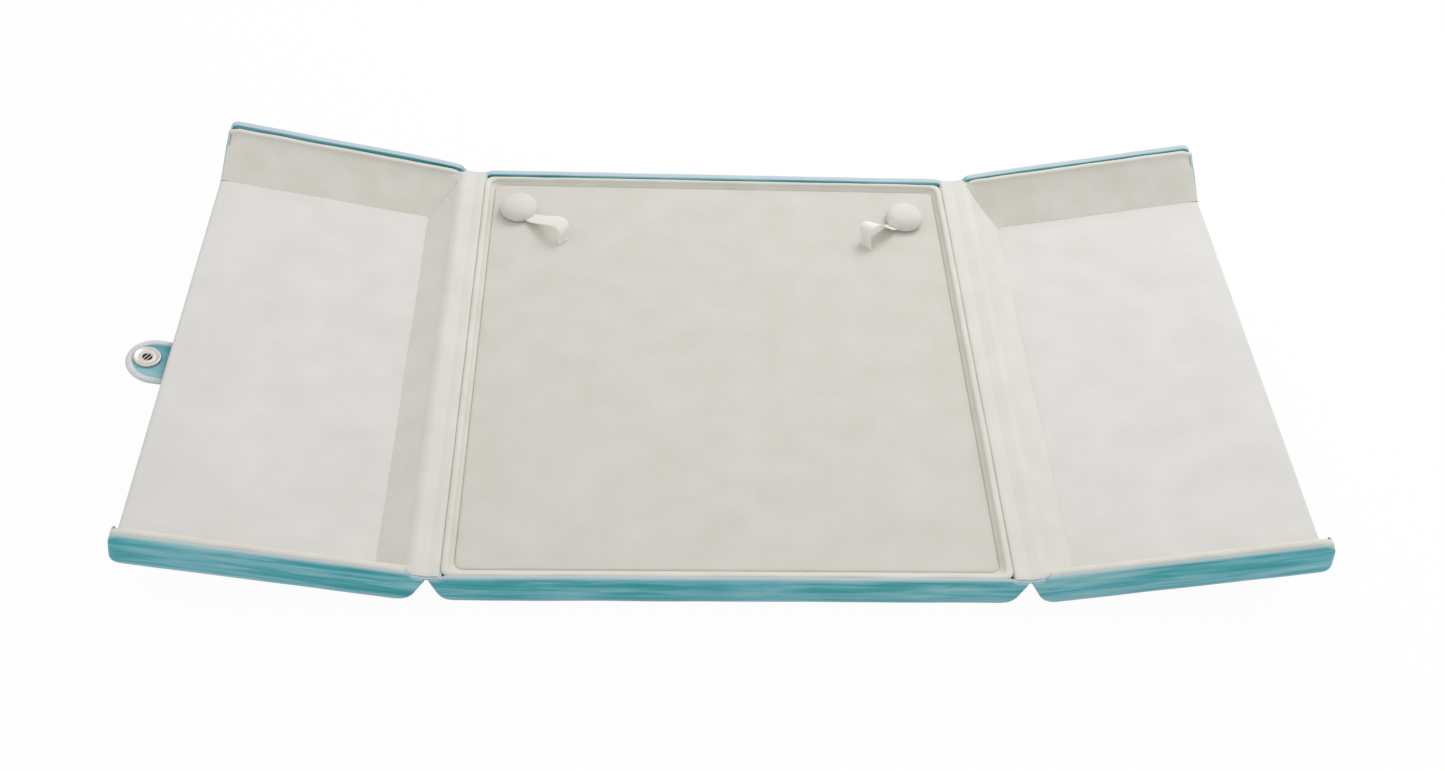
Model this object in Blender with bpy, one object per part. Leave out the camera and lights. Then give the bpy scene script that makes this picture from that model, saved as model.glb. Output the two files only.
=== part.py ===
"""A necklace box with two hinged doors, a padded display insert and a snap tab.

The base tray stands on the ground with the centre of its underside at the origin, +Z up and
its front towards -Y. The doors are hinged along Y at its left (-X) and right (+X) sides, and
lie open and a little raised. All lengths are in metres.

A door is drawn as the right-hand one in its own frame: x runs outwards from the hinge line,
y is the row's y, and z is the height above the plane of its rim through the hinge line. The
left-hand door is its mirror image.
"""

from math import cos, hypot, pi, radians, sin, sqrt, tan

import bmesh
import bpy
from mathutils import Vector

# Box
hinge_span = 0.190
box_depth = 0.200
base_height = 0.016
hinge_line_rise = 0.0010
door_height = 0.0183
door_rim_drop = 0.0003
doors_meeting_gap = 0.0008
left_tilt = radians(12.4)
right_tilt = radians(11.7)

# Cloth, board and clearances
velvet_thickness = 0.0007
board_thickness = 0.0013
lining_thickness = 0.0007
glue_gap = 0.0003
hinge_clearance = 0.0003
overrun = 0.004

# Shells
side_edge_radius = 0.0073
base_hinge_edge_radius = 0.0055
door_hinge_edge_radius = 0.0055
hinge_wall_lean = radians(17.5)
door_end_edge_radius = 0.0045
shell_corner_radius = 0.0018
least_radius = 0.0004
rim_round = 0.0008
rim_turnover = 0.0016
door_end_turnover = 0.0010
door_end_rim_radius = 0.0035

# Hinge cloth, counted down from the hinge line
hinge_lining_depth = 0.0010
hinge_cloth_thickness = 0.0010
hinge_flat = 0.0034
hinge_rise = 0.0030
base_lining_leaf_reach = 0.0039
lining_leaf_inset = 0.0015
cloth_leaf_inset = 0.0010

# Rim lip of the base, a rolled bead on a cloth that runs down to the floor
lip_width = 0.0031
lip_rise = 0.0004
lip_height = 0.0011
side_lip_distance = 0.0019
hinge_lip_distance = 0.0042
lip_cloth_distance = 0.0007
lip_corner_radius = 0.0042
rail_lip_gap = 0.0003
rail_foot_width = 0.0006

# Door lining
door_lip_rise = 0.0004
door_lip_drop = 0.0006
door_lip_run = 0.0033
slope_top_depth = 0.0014
front_floor_inset = 0.0078
back_floor_inset = 0.0183
hinge_slope_start = 0.0052
hinge_slope_depth = 0.0015
hinge_slope_foot = 0.0154
door_lip_start = 0.0067
door_floor_thickness = 0.0014
door_floor_crown = 0.0004
door_floor_crown_run = 0.012
door_floor_edge = 0.0007

# Display insert
pad_gap = 0.0009
pad_edge_drop = 0.0026
pad_crown = 0.0010
pad_crown_run = 0.045
pad_edge_round = 0.0016
pad_corner_radius = 0.0030
pad_draw_in = 0.0005
pad_cloth_thickness = 0.0006
pad_board_thickness = 0.0015

# Straps: the buttons' distances from the insert's edges, and the slits' from the buttons
left_button_side_margin = 0.0097
left_button_back_margin = 0.0167
left_strap_run_x = 0.0178
left_strap_run_y = 0.0175
left_strap_rise = 0.0078
right_button_side_margin = 0.0136
right_button_back_margin = 0.0187
right_strap_run_x = 0.0162
right_strap_run_y = 0.0154
right_strap_rise = 0.0084
strap_width = 0.0055
strap_thickness = 0.0006
strap_start = 0.0007
strap_start_height = 0.0010
strap_end_height = 0.0012
strap_tuck = 0.0023
anchor_depth = 0.0040
anchor_stub = 0.0004
button_radius = 0.0071
button_height = 0.0054
button_wall = 0.0008
button_lift = 0.0005
strap_slot_height = 0.0021

# Snap fastener
post_radius = 0.0015
post_head_radius = 0.0016
post_height = 0.0015
flange_radius = 0.0030
flange_thickness = 0.0004
shank_radius = 0.0009
shank_overlength = 0.0003
washer_radius = 0.0030
washer_thickness = 0.0004
snap_clearance = 0.0004
strap_post_height = 0.0021
strap_socket_radius = 0.0042
strap_socket_thickness = 0.0013
strap_socket_lift = 0.0019

# Closing tab
tab_centre_y = -0.0100
tab_width = 0.0165
tab_reach = 0.0128
tab_socket_reach = 0.0072
tab_cloth_thickness = 0.0005
tab_root_length = 0.0110
tab_root_thickness = 0.0020
tab_socket_radius = 0.0048
tab_socket_thickness = 0.0004
tab_cap_radius = 0.0046
tab_cap_height = 0.0012
tab_corner_radius = 0.0012

# Fineness of the rounded forms
edge_steps = 4
rim_steps = 2
corner_steps = 3
crown_steps = 4
turn_steps = 20
button_steps = 24
end_steps = 4
smooth_angle = radians(35)

# Places that follow from the sizes above
hinge_height = base_height + hinge_line_rise
pad_edge_height = base_height - pad_edge_drop
half_depth = box_depth / 2
half_span = hinge_span / 2
door_length = half_span - doors_meeting_gap / 2
hinge_cloth_depth = hinge_lining_depth + lining_thickness + glue_gap
hinge_wall_depth = hinge_cloth_depth + hinge_cloth_thickness + glue_gap
shell_inset = velvet_thickness + glue_gap
inner_inset = shell_inset + board_thickness
door_floor = inner_inset - door_height
filler_floor = door_floor + glue_gap
foot_depth = -filler_floor - lining_thickness
tongue_gap = flange_thickness + 2 * glue_gap + tab_socket_thickness + glue_gap
tongue_face = -door_height - glue_gap - tongue_gap
tab_pivot_x = door_length - door_end_edge_radius
tab_pivot_z = tongue_face - tab_cloth_thickness - glue_gap / 2
socket_x = door_length + tab_socket_reach
stud_x = hinge_span - socket_x

# Finishes: colour, roughness and metallic value
finishes = {
    "velvet": ((0.125, 0.345, 0.365, 1.0), 0.85, 0.0),
    "velvet_tab": ((0.110, 0.310, 0.330, 1.0), 0.85, 0.0),
    "cream_lining": ((0.750, 0.735, 0.680, 1.0), 0.60, 0.0),
    "cream_pad": ((0.720, 0.705, 0.660, 1.0), 0.65, 0.0),
    "cream_ribbon": ((0.800, 0.790, 0.740, 1.0), 0.45, 0.0),
    "greyboard": ((0.330, 0.310, 0.280, 1.0), 0.90, 0.0),
    "foam": ((0.850, 0.840, 0.780, 1.0), 0.95, 0.0),
    "nickel": ((0.620, 0.610, 0.590, 1.0), 0.28, 1.0),
}


# Building blocks
def clear_scene():
    for old in list(bpy.data.objects):
        bpy.data.objects.remove(old, do_unlink=True)


def finish(name):
    """The material of a finish, made at its first use."""
    found = bpy.data.materials.get(name)
    if found:
        return found
    colour, roughness, metallic = finishes[name]
    made = bpy.data.materials.new(name)
    made.use_nodes = True
    shader = made.node_tree.nodes["Principled BSDF"]
    shader.inputs["Base Color"].default_value = colour
    shader.inputs["Roughness"].default_value = roughness
    shader.inputs["Metallic"].default_value = metallic
    made.diffuse_color = colour
    return made


def pivot(name, place, turn, parent=None):
    """An empty at a hinge line, on which the pieces that move with it hang."""
    empty = bpy.data.objects.new(name, None)
    bpy.context.scene.collection.objects.link(empty)
    empty.parent = parent
    empty.location = place
    empty.rotation_euler = turn
    return empty


def place_mesh(name, mesh_data, material, parent=None, mirrored=False, at=None):
    """An object from a bmesh, with its faces pointing out and its round forms shaded smooth."""
    if mirrored:
        bmesh.ops.scale(mesh_data, vec=(-1.0, 1.0, 1.0), verts=mesh_data.verts)
    bmesh.ops.recalc_face_normals(mesh_data, faces=mesh_data.faces)
    mesh = bpy.data.meshes.new(name)
    mesh_data.to_mesh(mesh)
    mesh_data.free()
    mesh.shade_smooth()
    mesh.set_sharp_from_angle(angle=smooth_angle)
    placed = bpy.data.objects.new(name, mesh)
    bpy.context.scene.collection.objects.link(placed)
    placed.parent = parent
    if at:
        placed.location = at
    if material:
        mesh.materials.append(finish(material))
    return placed


def cut(target, cutters):
    """Subtracts the cutters from the target with Boolean modifiers."""
    for cutter in cutters:
        cutter.hide_render = True
        cutter.display_type = "WIRE"
        boolean = target.modifiers.new(cutter.name, "BOOLEAN")
        boolean.operation = "DIFFERENCE"
        boolean.solver = "EXACT"
        boolean.object = cutter


def skin(rows, ring=False, sheet=False):
    """A closed mesh through rows of as many points each.

    The first and last rows are capped, or joined to each other for a ring. A sheet's caps
    are made of quads between its upper and lower side.
    """
    made = bmesh.new()
    lines = [[made.verts.new(point) for point in row] for row in rows]
    count = len(lines[0])
    pairs = list(zip(lines, lines[1:]))
    if ring:
        pairs.append((lines[-1], lines[0]))
    for first, second in pairs:
        for here in range(count):
            ahead = (here + 1) % count
            made.faces.new((first[here], first[ahead], second[ahead], second[here]))
    if ring:
        return made
    for line in (lines[0], lines[-1]):
        if sheet:
            for here in range(count // 2 - 1):
                made.faces.new((line[here], line[here + 1], line[-here - 2], line[-here - 1]))
        else:
            made.faces.new(line)
    return made


def arc_inset(radius, height):
    """How far in a rounded bottom edge stands at a height above its foot."""
    if height >= radius:
        return 0.0
    return radius - sqrt(max(radius**2 - (radius - max(height, 0.0)) ** 2, 0.0))


def lean_inset(depth):
    """How far in a hinge wall stands at a depth below its top."""
    return tan(hinge_wall_lean) * max(depth, 0.0)


def rounded_loop(low_x, high_x, half_y, corner, stations=()):
    """Points round a rectangle with rounded corners, from its front left corner.

    Its front and back have more points at the stations in x, moved in where they don't fit.
    """
    turn = pi / 2
    front = []
    for number, station in enumerate(stations):
        lowest = low_x + corner + (number + 1) * least_radius
        highest = high_x - corner - (len(stations) - number) * least_radius
        front.append(min(max(station, lowest), highest))
    centres = (
        (low_x + corner, corner - half_y),
        (high_x - corner, corner - half_y),
        (high_x - corner, half_y - corner),
        (low_x + corner, half_y - corner),
    )
    points = []
    for number, (centre_x, centre_y) in enumerate(centres):
        for step in range(corner_steps + 1):
            angle = pi + turn * (number + step / corner_steps)
            points.append((centre_x + corner * cos(angle), centre_y + corner * sin(angle)))
        if number == 0:
            points += [(x, -half_y) for x in front]
        if number == 2:
            points += [(x, half_y) for x in reversed(front)]
    return points


def level_row(points, level):
    return [(x, y, level) for x, y in points]


def turned(profile, steps, ring=False):
    """A turned form about z, through a profile of (radius, height) points."""
    rows = []
    for radius, height in profile:
        angles = [2 * pi * step / steps for step in range(steps)]
        rows.append([(radius * cos(angle), radius * sin(angle), height) for angle in angles])
    return skin(rows, ring=ring)


def block(low, high):
    """A rectangular block between two corners."""
    rows = []
    for x in (low[0], high[0]):
        corners = ((low[1], low[2]), (high[1], low[2]), (high[1], high[2]), (low[1], high[2]))
        rows.append([(x, y, z) for y, z in corners])
    return skin(rows)


def offset_path(path, distance):
    """A path of 2D points moved to the right of its direction, with mitred bends."""
    sides = []
    for (x1, z1), (x2, z2) in zip(path, path[1:]):
        length = hypot(x2 - x1, z2 - z1)
        sides.append(Vector(((z2 - z1) / length, (x1 - x2) / length)))
    moved = []
    for number, point in enumerate(path):
        before = sides[max(number - 1, 0)]
        after = sides[min(number, len(sides) - 1)]
        middle = (before + after).normalized()
        moved.append(tuple(Vector(point) + middle * distance / middle.dot(before)))
    return moved


def on_line(first, second, level):
    """Where the line through two (distance, height) points has a height."""
    share = (level - first[1]) / (second[1] - first[1])
    return first[0] + share * (second[0] - first[0])


def smooth_share(share):
    """An even rise from 0 to 1."""
    held = min(max(share, 0.0), 1.0)
    return held * held * (3 - 2 * held)


# Tray shells
class Tray:
    """The outer block of a tray: its ends, floor and rim, and how its edges are rounded.

    low_radius and high_radius are those of the bottom edges at its low and high ends in x.
    Below low_wall_top and high_wall_top these ends lean inwards, as hinge walls do.
    The stations are where its rim changes height, and rim_fall by how much.
    """

    def __init__(self, low, high, floor, rim, low_radius, high_radius, low_wall_top,
                 high_wall_top, stations, rim_fall):
        self.low_wall_top = low_wall_top
        self.high_wall_top = high_wall_top
        self.stations = stations
        self.low = low
        self.high = high
        self.floor = floor
        self.rim = rim
        self.low_radius = low_radius
        self.high_radius = high_radius
        self.rim_fall = rim_fall

    def row(self, inset, level, high_inset=None):
        """The tray's outline at a level, a distance in from its outer face."""
        rounding = max(shell_corner_radius - inset, least_radius)
        height = level - self.floor - inset
        low = self.low + inset + arc_inset(max(self.low_radius - inset, least_radius), height)
        low += lean_inset(self.low_wall_top - level)
        end_inset = inset if high_inset is None else high_inset
        high = self.high - end_inset - lean_inset(self.high_wall_top - level)
        high -= arc_inset(max(self.high_radius - inset, least_radius), height)
        side = half_depth - inset - arc_inset(max(side_edge_radius - inset, least_radius), height)
        return level_row(rounded_loop(low, high, side, rounding, self.stations), level)

    def rising_rows(self, inset):
        """Rows from the foot of a rounded bottom edge to its top."""
        radius = side_edge_radius - inset
        rows = []
        for step in range(edge_steps + 1):
            height = radius * (1 - cos(pi / 2 * step / edge_steps))
            rows.append(self.row(inset, self.floor + inset + height))
        return rows

    def lowered(self, mesh_data):
        """The mesh with its rim let down to the hinge cloth and rounded off at a free end."""
        start = (self.rim + self.floor) / 2
        for vertex in mesh_data.verts:
            share = (vertex.co.z - start) / (self.rim - start)
            vertex.co.z -= min(max(share, 0.0), 1.0) * self.rim_fall(vertex.co.x)
        return mesh_data

    def cover(self, high_turnover=None):
        """The velvet skin: round the outside and turned over the rim."""
        rows = self.rising_rows(0.0)
        for step in range(rim_steps + 1):
            angle = pi / 2 * step / rim_steps
            inset = rim_round * (1 - cos(angle))
            rows.append(self.row(inset, self.rim - rim_round * (1 - sin(angle))))
        under_rim = self.rim - velvet_thickness
        rows.append(self.row(rim_turnover, self.rim, high_turnover))
        rows.append(self.row(rim_turnover, under_rim, high_turnover))
        rows.append(self.row(velvet_thickness, under_rim))
        rows += reversed(self.rising_rows(velvet_thickness))
        return self.lowered(skin(rows))

    def shell(self):
        """The board tray inside the skin."""
        rows = self.rising_rows(shell_inset)
        rows.append(self.row(shell_inset, self.rim - shell_inset))
        rows.append(self.row(inner_inset, self.rim - shell_inset))
        rows += reversed(self.rising_rows(inner_inset))
        return self.lowered(skin(rows))


def hinge_fall(distance, fall):
    """How far a rim is let down at a distance from the hinge line."""
    return fall * (1 - smooth_share((distance - hinge_flat) / hinge_rise))


def base_rim_fall(x):
    return hinge_fall(half_span - abs(x), base_height - hinge_height + hinge_wall_depth)


def end_fall(x):
    """How far a door's rim is rounded off near its free end."""
    return arc_inset(door_end_rim_radius, door_length - x)


def door_rim_fall(x):
    return hinge_fall(x, hinge_wall_depth - door_rim_drop) + end_fall(x)


rise_stations = [hinge_flat + hinge_rise * step / end_steps for step in range(end_steps + 1)]
door_end_stations = [door_length - door_end_rim_radius, door_length - door_end_rim_radius * 0.75]
base_tray = Tray(
    hinge_clearance - half_span,
    half_span - hinge_clearance,
    0.0,
    base_height,
    base_hinge_edge_radius,
    base_hinge_edge_radius,
    hinge_height - hinge_wall_depth,
    hinge_height - hinge_wall_depth,
    [x - half_span for x in rise_stations] + [half_span - x for x in reversed(rise_stations)],
    base_rim_fall,
)
door_tray = Tray(
    hinge_clearance,
    door_length,
    -door_height,
    -door_rim_drop,
    door_hinge_edge_radius,
    door_end_edge_radius,
    -hinge_wall_depth,
    -door_height,
    rise_stations + door_end_stations,
    door_rim_fall,
)


# Base tray and its lining
def make_base():
    place_mesh("base_cover", base_tray.cover(), "velvet")
    place_mesh("base_shell", base_tray.shell(), "greyboard")
    place_mesh("base_rim_lining", rim_lining(), "cream_lining")
    for side, turn in (("left", -1), ("right", 1)):
        make_rail(side, turn)
        make_base_leaf(side + "_hinge_lining_base_leaf", turn, hinge_lining_depth,
                       lining_thickness, base_lining_leaf_reach, lining_leaf_inset, "cream_lining")
        make_base_leaf(side + "_hinge_cloth_base_leaf", turn, hinge_cloth_depth,
                       hinge_cloth_thickness, hinge_flat, cloth_leaf_inset, "velvet")


def rim_lining():
    """The lip round the display insert, with its cloth glued down inside the walls.

    The cloth ends above the rounded side edges and clear of the leaning hinge walls.
    """
    lip_foot = base_height + lip_rise - lip_height
    wall_top = hinge_height - hinge_wall_depth
    wall_room = hinge_lip_distance + lip_cloth_distance - hinge_clearance - inner_inset - glue_gap
    clear_of_wall = wall_top - wall_room / tan(hinge_wall_lean)
    cloth_foot = max(side_edge_radius + glue_gap, clear_of_wall)
    outline = []
    for step in range(edge_steps + 2):
        angle = pi * step / (edge_steps + 1)
        across = lip_width / 2 * (1 - cos(angle))
        outline.append((across, lip_foot + lip_height * sin(angle)))
    cloth_inner = lip_cloth_distance + lining_thickness
    lip_under = lip_foot - lip_height
    outline.append((cloth_inner + (lip_width - cloth_inner) / 2, lip_under))
    outline.append((cloth_inner, lip_under))
    outline.append((cloth_inner, cloth_foot))
    outline.append((lip_cloth_distance, cloth_foot))
    outline.append((lip_cloth_distance, lip_foot))
    rows = []
    for across, level in outline:
        reach = half_span - hinge_lip_distance - across
        side = half_depth - side_lip_distance - across
        corner = max(lip_corner_radius - across, least_radius)
        rows.append(level_row(rounded_loop(-reach, reach, side, corner), level))
    return skin(rows, ring=True)


def make_rail(side, turn):
    """The strip of board between a hinge wall and the lip's cloth."""
    outer = half_span - hinge_clearance - inner_inset - glue_gap
    inner = half_span - hinge_lip_distance - lip_cloth_distance + rail_lip_gap
    half_length = half_depth - side_edge_radius - glue_gap
    top = hinge_height - hinge_wall_depth
    foot = top - (outer - inner - rail_foot_width) / tan(hinge_wall_lean)
    outline = (
        (inner, foot),
        (inner + rail_foot_width, foot),
        (outer, top),
        (inner, top),
    )
    rows = [[(x, y, level) for x, level in outline] for y in (-half_length, half_length)]
    place_mesh("base_" + side + "_rail", skin(rows), "greyboard", mirrored=turn < 0)


def make_base_leaf(name, turn, depth, thickness, reach, inset, material):
    """The base's half of a hinge cloth."""
    top = hinge_height - depth
    low = (half_span - reach, inset - half_depth, top - thickness)
    high = (half_span - hinge_clearance, half_depth - inset, top)
    place_mesh(name, block(low, high), material, mirrored=turn < 0)


# Display insert
pad_half_x = half_span - hinge_lip_distance - lip_width - pad_gap
pad_half_y = half_depth - side_lip_distance - lip_width - pad_gap
pad_foot = inner_inset + glue_gap


def pad_level(inset):
    """The height of the insert's top at a distance in from its edge."""
    share = min(max(inset - pad_edge_round, 0.0) / pad_crown_run, 1.0)
    return pad_edge_height + pad_crown * (1 - (1 - share) ** 2)


def pad_top_at(x, y):
    return pad_level(min(pad_half_x - abs(x), pad_half_y - abs(y)))


def pad_rows(inset, foot):
    """Rows of the insert's surface, a distance inside its outer face, from foot to crown."""
    def row(extra, level):
        corner = max(pad_corner_radius - inset - extra, least_radius)
        across = inset + extra
        return level_row(rounded_loop(across - pad_half_x, pad_half_x - across,
                                      pad_half_y - across, corner), level)

    shoulder = pad_edge_height - pad_edge_round
    edge_round = pad_edge_round - inset
    rows = [row(pad_draw_in, foot), row(0.0, (foot + shoulder) / 2)]
    for step in range(rim_steps + 2):
        angle = pi / 2 * step / (rim_steps + 1)
        rows.append(row(edge_round * (1 - cos(angle)), shoulder + edge_round * sin(angle)))
    for step in range(crown_steps):
        run = pad_crown_run * (step + 1) / crown_steps
        rows.append(row(edge_round + run, pad_level(pad_edge_round + run) - inset))
    return rows


def make_insert():
    foam_inset = pad_cloth_thickness + glue_gap
    board_top = pad_foot + pad_board_thickness
    outer = pad_rows(0.0, pad_foot)
    inner = pad_rows(pad_cloth_thickness, pad_foot)
    cover = place_mesh("pad_cover", skin(list(reversed(inner)) + outer), "cream_pad")
    foam_rows = pad_rows(foam_inset, board_top + glue_gap)
    foam = place_mesh("pad_foam", skin(foam_rows), "foam")
    corner = max(pad_corner_radius - foam_inset, least_radius)
    reach = pad_half_x - foam_inset - pad_draw_in
    side = pad_half_y - foam_inset - pad_draw_in
    edge = rounded_loop(-reach, reach, side, corner)
    board_rows = [level_row(edge, pad_foot), level_row(edge, board_top)]
    place_mesh("pad_board", skin(board_rows), "greyboard")
    for side_name in ("left", "right"):
        make_strap(side_name, cover, foam)


# Straps, each drawn in a frame at its slit, with x towards its button
strap_places = {
    "left": (
        left_button_side_margin - pad_half_x,
        pad_half_y - left_button_back_margin,
        left_strap_run_x,
        -left_strap_run_y,
        left_strap_rise,
    ),
    "right": (
        pad_half_x - right_button_side_margin,
        pad_half_y - right_button_back_margin,
        -right_strap_run_x,
        -right_strap_run_y,
        right_strap_rise,
    ),
}

# The ribbon's arch from slit to button, as shares of its run and rise, and its lean in degrees
strap_route_shares = (
    (0.00, 0.00, 0),
    (0.00, 0.30, 2),
    (0.04, 0.65, 5),
    (0.14, 0.92, 8),
    (0.30, 1.00, 9),
    (0.48, 0.86, 7),
    (0.66, 0.48, 4),
    (0.80, 0.12, 1),
    (0.90, 0.00, 0),
    (1.00, 0.00, 0),
)


def make_strap(side, cover, foam):
    button_x, button_y, run_x, run_y, rise = strap_places[side]
    slit_x = button_x + run_x
    slit_y = button_y + run_y
    length = hypot(run_x, run_y)
    slit_top = pad_top_at(slit_x, slit_y)
    drop = pad_top_at(abs(button_x) + flange_radius, button_y + flange_radius) - slit_top
    heading = Vector((-run_x, -run_y)).angle_signed(Vector((1.0, 0.0)))
    seat = pivot(side + "_strap_seat", (slit_x, slit_y, slit_top), (0.0, 0.0, heading))
    swing = pivot(side + "_strap_pivot", (0.0, 0.0, 0.0), (0.0, 0.0, 0.0), seat)
    ribbon = strap_ribbon(length, drop, rise, 1 if side == "left" else -1)
    place_mesh(side + "_strap", ribbon, "cream_ribbon", swing)
    make_button(side, swing, (length, 0.0, drop))
    make_anchor(side, seat, cover, foam)
    make_strap_post(side, seat, (length, 0.0, drop), cover, foam)


def strap_ribbon(length, drop, rise, lean_sign):
    """The ribbon's arch from its slit to the button."""
    last = length - button_radius + strap_tuck
    path = []
    for along_share, rise_share, lean in strap_route_shares:
        start_level = strap_start_height + rise_share * rise
        level = start_level + along_share * (drop + strap_end_height - strap_start_height)
        path.append((strap_start + along_share * (last - strap_start), level))
    under = offset_path(path, strap_thickness)
    rows = []
    for upper, lower, shares in zip(path, under, strap_route_shares):
        lean = radians(shares[2]) * lean_sign
        out = cos(lean) * strap_width / 2
        lift = sin(lean) * strap_width / 2
        rows.append([
            (lower[0], -out, lower[1] - lift),
            (lower[0], out, lower[1] + lift),
            (upper[0], out, upper[1] + lift),
            (upper[0], -out, upper[1] - lift),
        ])
    return skin(rows)


def make_button(side, swing, place):
    """The cloth-covered button with the snap's socket inside it."""
    inner_radius = button_radius - button_wall
    dome = button_height - button_lift
    outer_shares = ((0.97, 0.0), (1.0, 0.16), (0.96, 0.42), (0.81, 0.72), (0.5, 0.93), (0.14, 1.0))
    profile = [(button_radius * wide, button_lift + dome * high) for wide, high in outer_shares]
    ceiling = strap_socket_lift + strap_socket_thickness + glue_gap
    inner = [
        (button_radius * outer_shares[-1][0], ceiling),
        (inner_radius * outer_shares[3][0], ceiling),
        (inner_radius * outer_shares[0][0], button_lift + strap_thickness),
        (inner_radius * outer_shares[0][0], button_lift),
    ]
    button = place_mesh(side + "_strap_button", turned(inner + profile, button_steps),
                        "cream_pad", swing, at=place)
    slot_half = strap_width / 2 + glue_gap
    slot = block((-button_radius - overrun, -slot_half, -overrun),
                 (-strap_socket_radius - glue_gap, slot_half, strap_slot_height))
    cut(button, [place_mesh(side + "_strap_slot_cutter", slot, None, swing, at=place)])
    bore = post_head_radius + snap_clearance
    top = strap_socket_lift + strap_socket_thickness
    ring = [(bore, strap_socket_lift), (strap_socket_radius, strap_socket_lift),
            (strap_socket_radius, top), (bore, top)]
    place_mesh(side + "_strap_snap_socket", turned(ring, turn_steps, ring=True),
               "nickel", swing, at=place)


def make_anchor(side, seat, cover, foam):
    """The strap's end in its slit through the insert's cloth."""
    half = strap_width / 2
    outer = strap_thickness / 2
    anchor = block((-outer, -half, -anchor_depth), (outer, half, anchor_stub))
    place_mesh(side + "_strap_anchor", anchor, "cream_ribbon", seat)
    opening = block((-outer - glue_gap, -half - glue_gap, -anchor_depth - glue_gap),
                    (outer + glue_gap, half + glue_gap, overrun))
    cutter = place_mesh(side + "_slit_cutter", opening, None, seat)
    cut(cover, [cutter])
    cut(foam, [cutter])


def post_profile(height, shank_end):
    """A snap's post over its flange, with the shank that holds it below."""
    flange_foot = glue_gap
    flange_top = flange_foot + flange_thickness
    top = flange_top + height
    head = top - height / 3
    return [
        (shank_radius, -shank_end),
        (shank_radius, flange_foot),
        (flange_radius, flange_foot),
        (flange_radius, flange_top),
        (post_radius, flange_top),
        (post_head_radius, head),
        (post_radius, top),
    ]


def washer_profile(top):
    bore = shank_radius + glue_gap
    foot = top - washer_thickness
    return [(bore, foot), (washer_radius, foot), (washer_radius, top), (bore, top)]


def make_strap_post(side, seat, place, cover, foam):
    """The snap's post on the insert, and its washer under the cloth."""
    washer_top = -pad_cloth_thickness - glue_gap
    shank_end = washer_thickness + shank_overlength - washer_top
    post = turned(post_profile(strap_post_height, shank_end), turn_steps)
    place_mesh(side + "_strap_post", post, "nickel", seat, at=place)
    washer = turned(washer_profile(washer_top), turn_steps, ring=True)
    place_mesh(side + "_strap_post_washer", washer, "nickel", seat, at=place)
    hole_radius = shank_radius + glue_gap
    hole = turned([(hole_radius, -overrun), (hole_radius, overrun)], turn_steps)
    cut(cover, [place_mesh(side + "_post_hole_cutter", hole, None, seat, at=place)])
    pocket_radius = washer_radius + glue_gap
    pocket = turned([(pocket_radius, -shank_end - glue_gap), (pocket_radius, overrun)], turn_steps)
    cut(foam, [place_mesh(side + "_washer_pocket_cutter", pocket, None, seat, at=place)])


# Doors
side_slope_top = (side_lip_distance + door_lip_run, -slope_top_depth)
floor_lining_top = door_floor + glue_gap + door_floor_thickness
floor_insets = {-1: front_floor_inset, 1: back_floor_inset}
hinge_slope_top = (hinge_slope_start, -hinge_slope_depth)
hinge_slope_end = (hinge_slope_foot, floor_lining_top)
hinge_foot_reach = on_line(hinge_slope_top, hinge_slope_end, -foot_depth)
lining_end = door_length - door_end_turnover - glue_gap


def side_foot_inset(y_sign):
    """How far in from the front or back its slope ends under the floor pad."""
    return on_line(side_slope_top, (floor_insets[y_sign], floor_lining_top), -foot_depth)


def mitre_ratio(y_sign):
    run = side_foot_inset(y_sign) - side_slope_top[0]
    return (hinge_foot_reach - hinge_slope_start) / run


def mitre_reach(inset, y_sign):
    """How far from the hinge line the two slopes meet, at an inset from the side."""
    return hinge_slope_start + (inset - side_slope_top[0]) * mitre_ratio(y_sign)


def mitre_inset(reach, y_sign):
    """The inset from the side where the two slopes meet, at a distance from the hinge line."""
    return side_slope_top[0] + (reach - hinge_slope_start) / mitre_ratio(y_sign)


def inside_hinge_wall(level):
    """How far from the hinge line the fillers start, clear of the leaning hinge wall."""
    wall = hinge_clearance + inner_inset + glue_gap + lean_inset(-hinge_wall_depth - level)
    return wall + arc_inset(door_hinge_edge_radius - inner_inset, level - door_floor)


def end_stations():
    """Distances from the hinge line at which the rounded end of a rim has points."""
    start = door_length - door_end_rim_radius
    return [start + (lining_end - start) * step / end_steps for step in range(end_steps + 1)]


def side_lining(y_sign):
    """The lining of a side wall: over the rim as a lip, and down a slope to the floor."""
    lip_middle = side_lip_distance + door_lip_run / 2
    path = [(side_lip_distance, -door_lip_drop - door_rim_drop)]
    for step in range(1, edge_steps + 1):
        angle = pi * step / (edge_steps + 1)
        rise = (door_lip_rise + door_lip_drop) * sin(angle)
        across = lip_middle - door_lip_run / 2 * cos(angle)
        path.append((across, rise - door_lip_drop - door_rim_drop))
    path.append(side_slope_top)
    path.append((side_foot_inset(y_sign), -foot_depth))
    outline = path + list(reversed(offset_path(path, lining_thickness)))
    rows = []
    for station in [None] + end_stations():
        row = []
        for inset, level in outline:
            start = max(door_lip_start, mitre_reach(inset, y_sign) + glue_gap)
            x = start if station is None else station
            row.append((x, y_sign * (half_depth - inset), level))
        rows.append(row)
    return door_tray.lowered(skin(rows, sheet=True))


def slope_filler_top(top, foot, wall, level):
    """Outline of the wedge under a slope, from its top at the wall to its foot."""
    under_top, under_foot = offset_path([top, foot], lining_thickness + glue_gap)
    reach = on_line(under_top, under_foot, level)
    toe = on_line(under_top, under_foot, filler_floor)
    if reach <= wall:
        share = (wall - under_top[0]) / (under_foot[0] - under_top[0])
        level = under_top[1] + share * (under_foot[1] - under_top[1])
        return [(wall, level), (toe, filler_floor)]
    return [(wall, level), (reach, level), (toe, filler_floor)]


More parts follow.
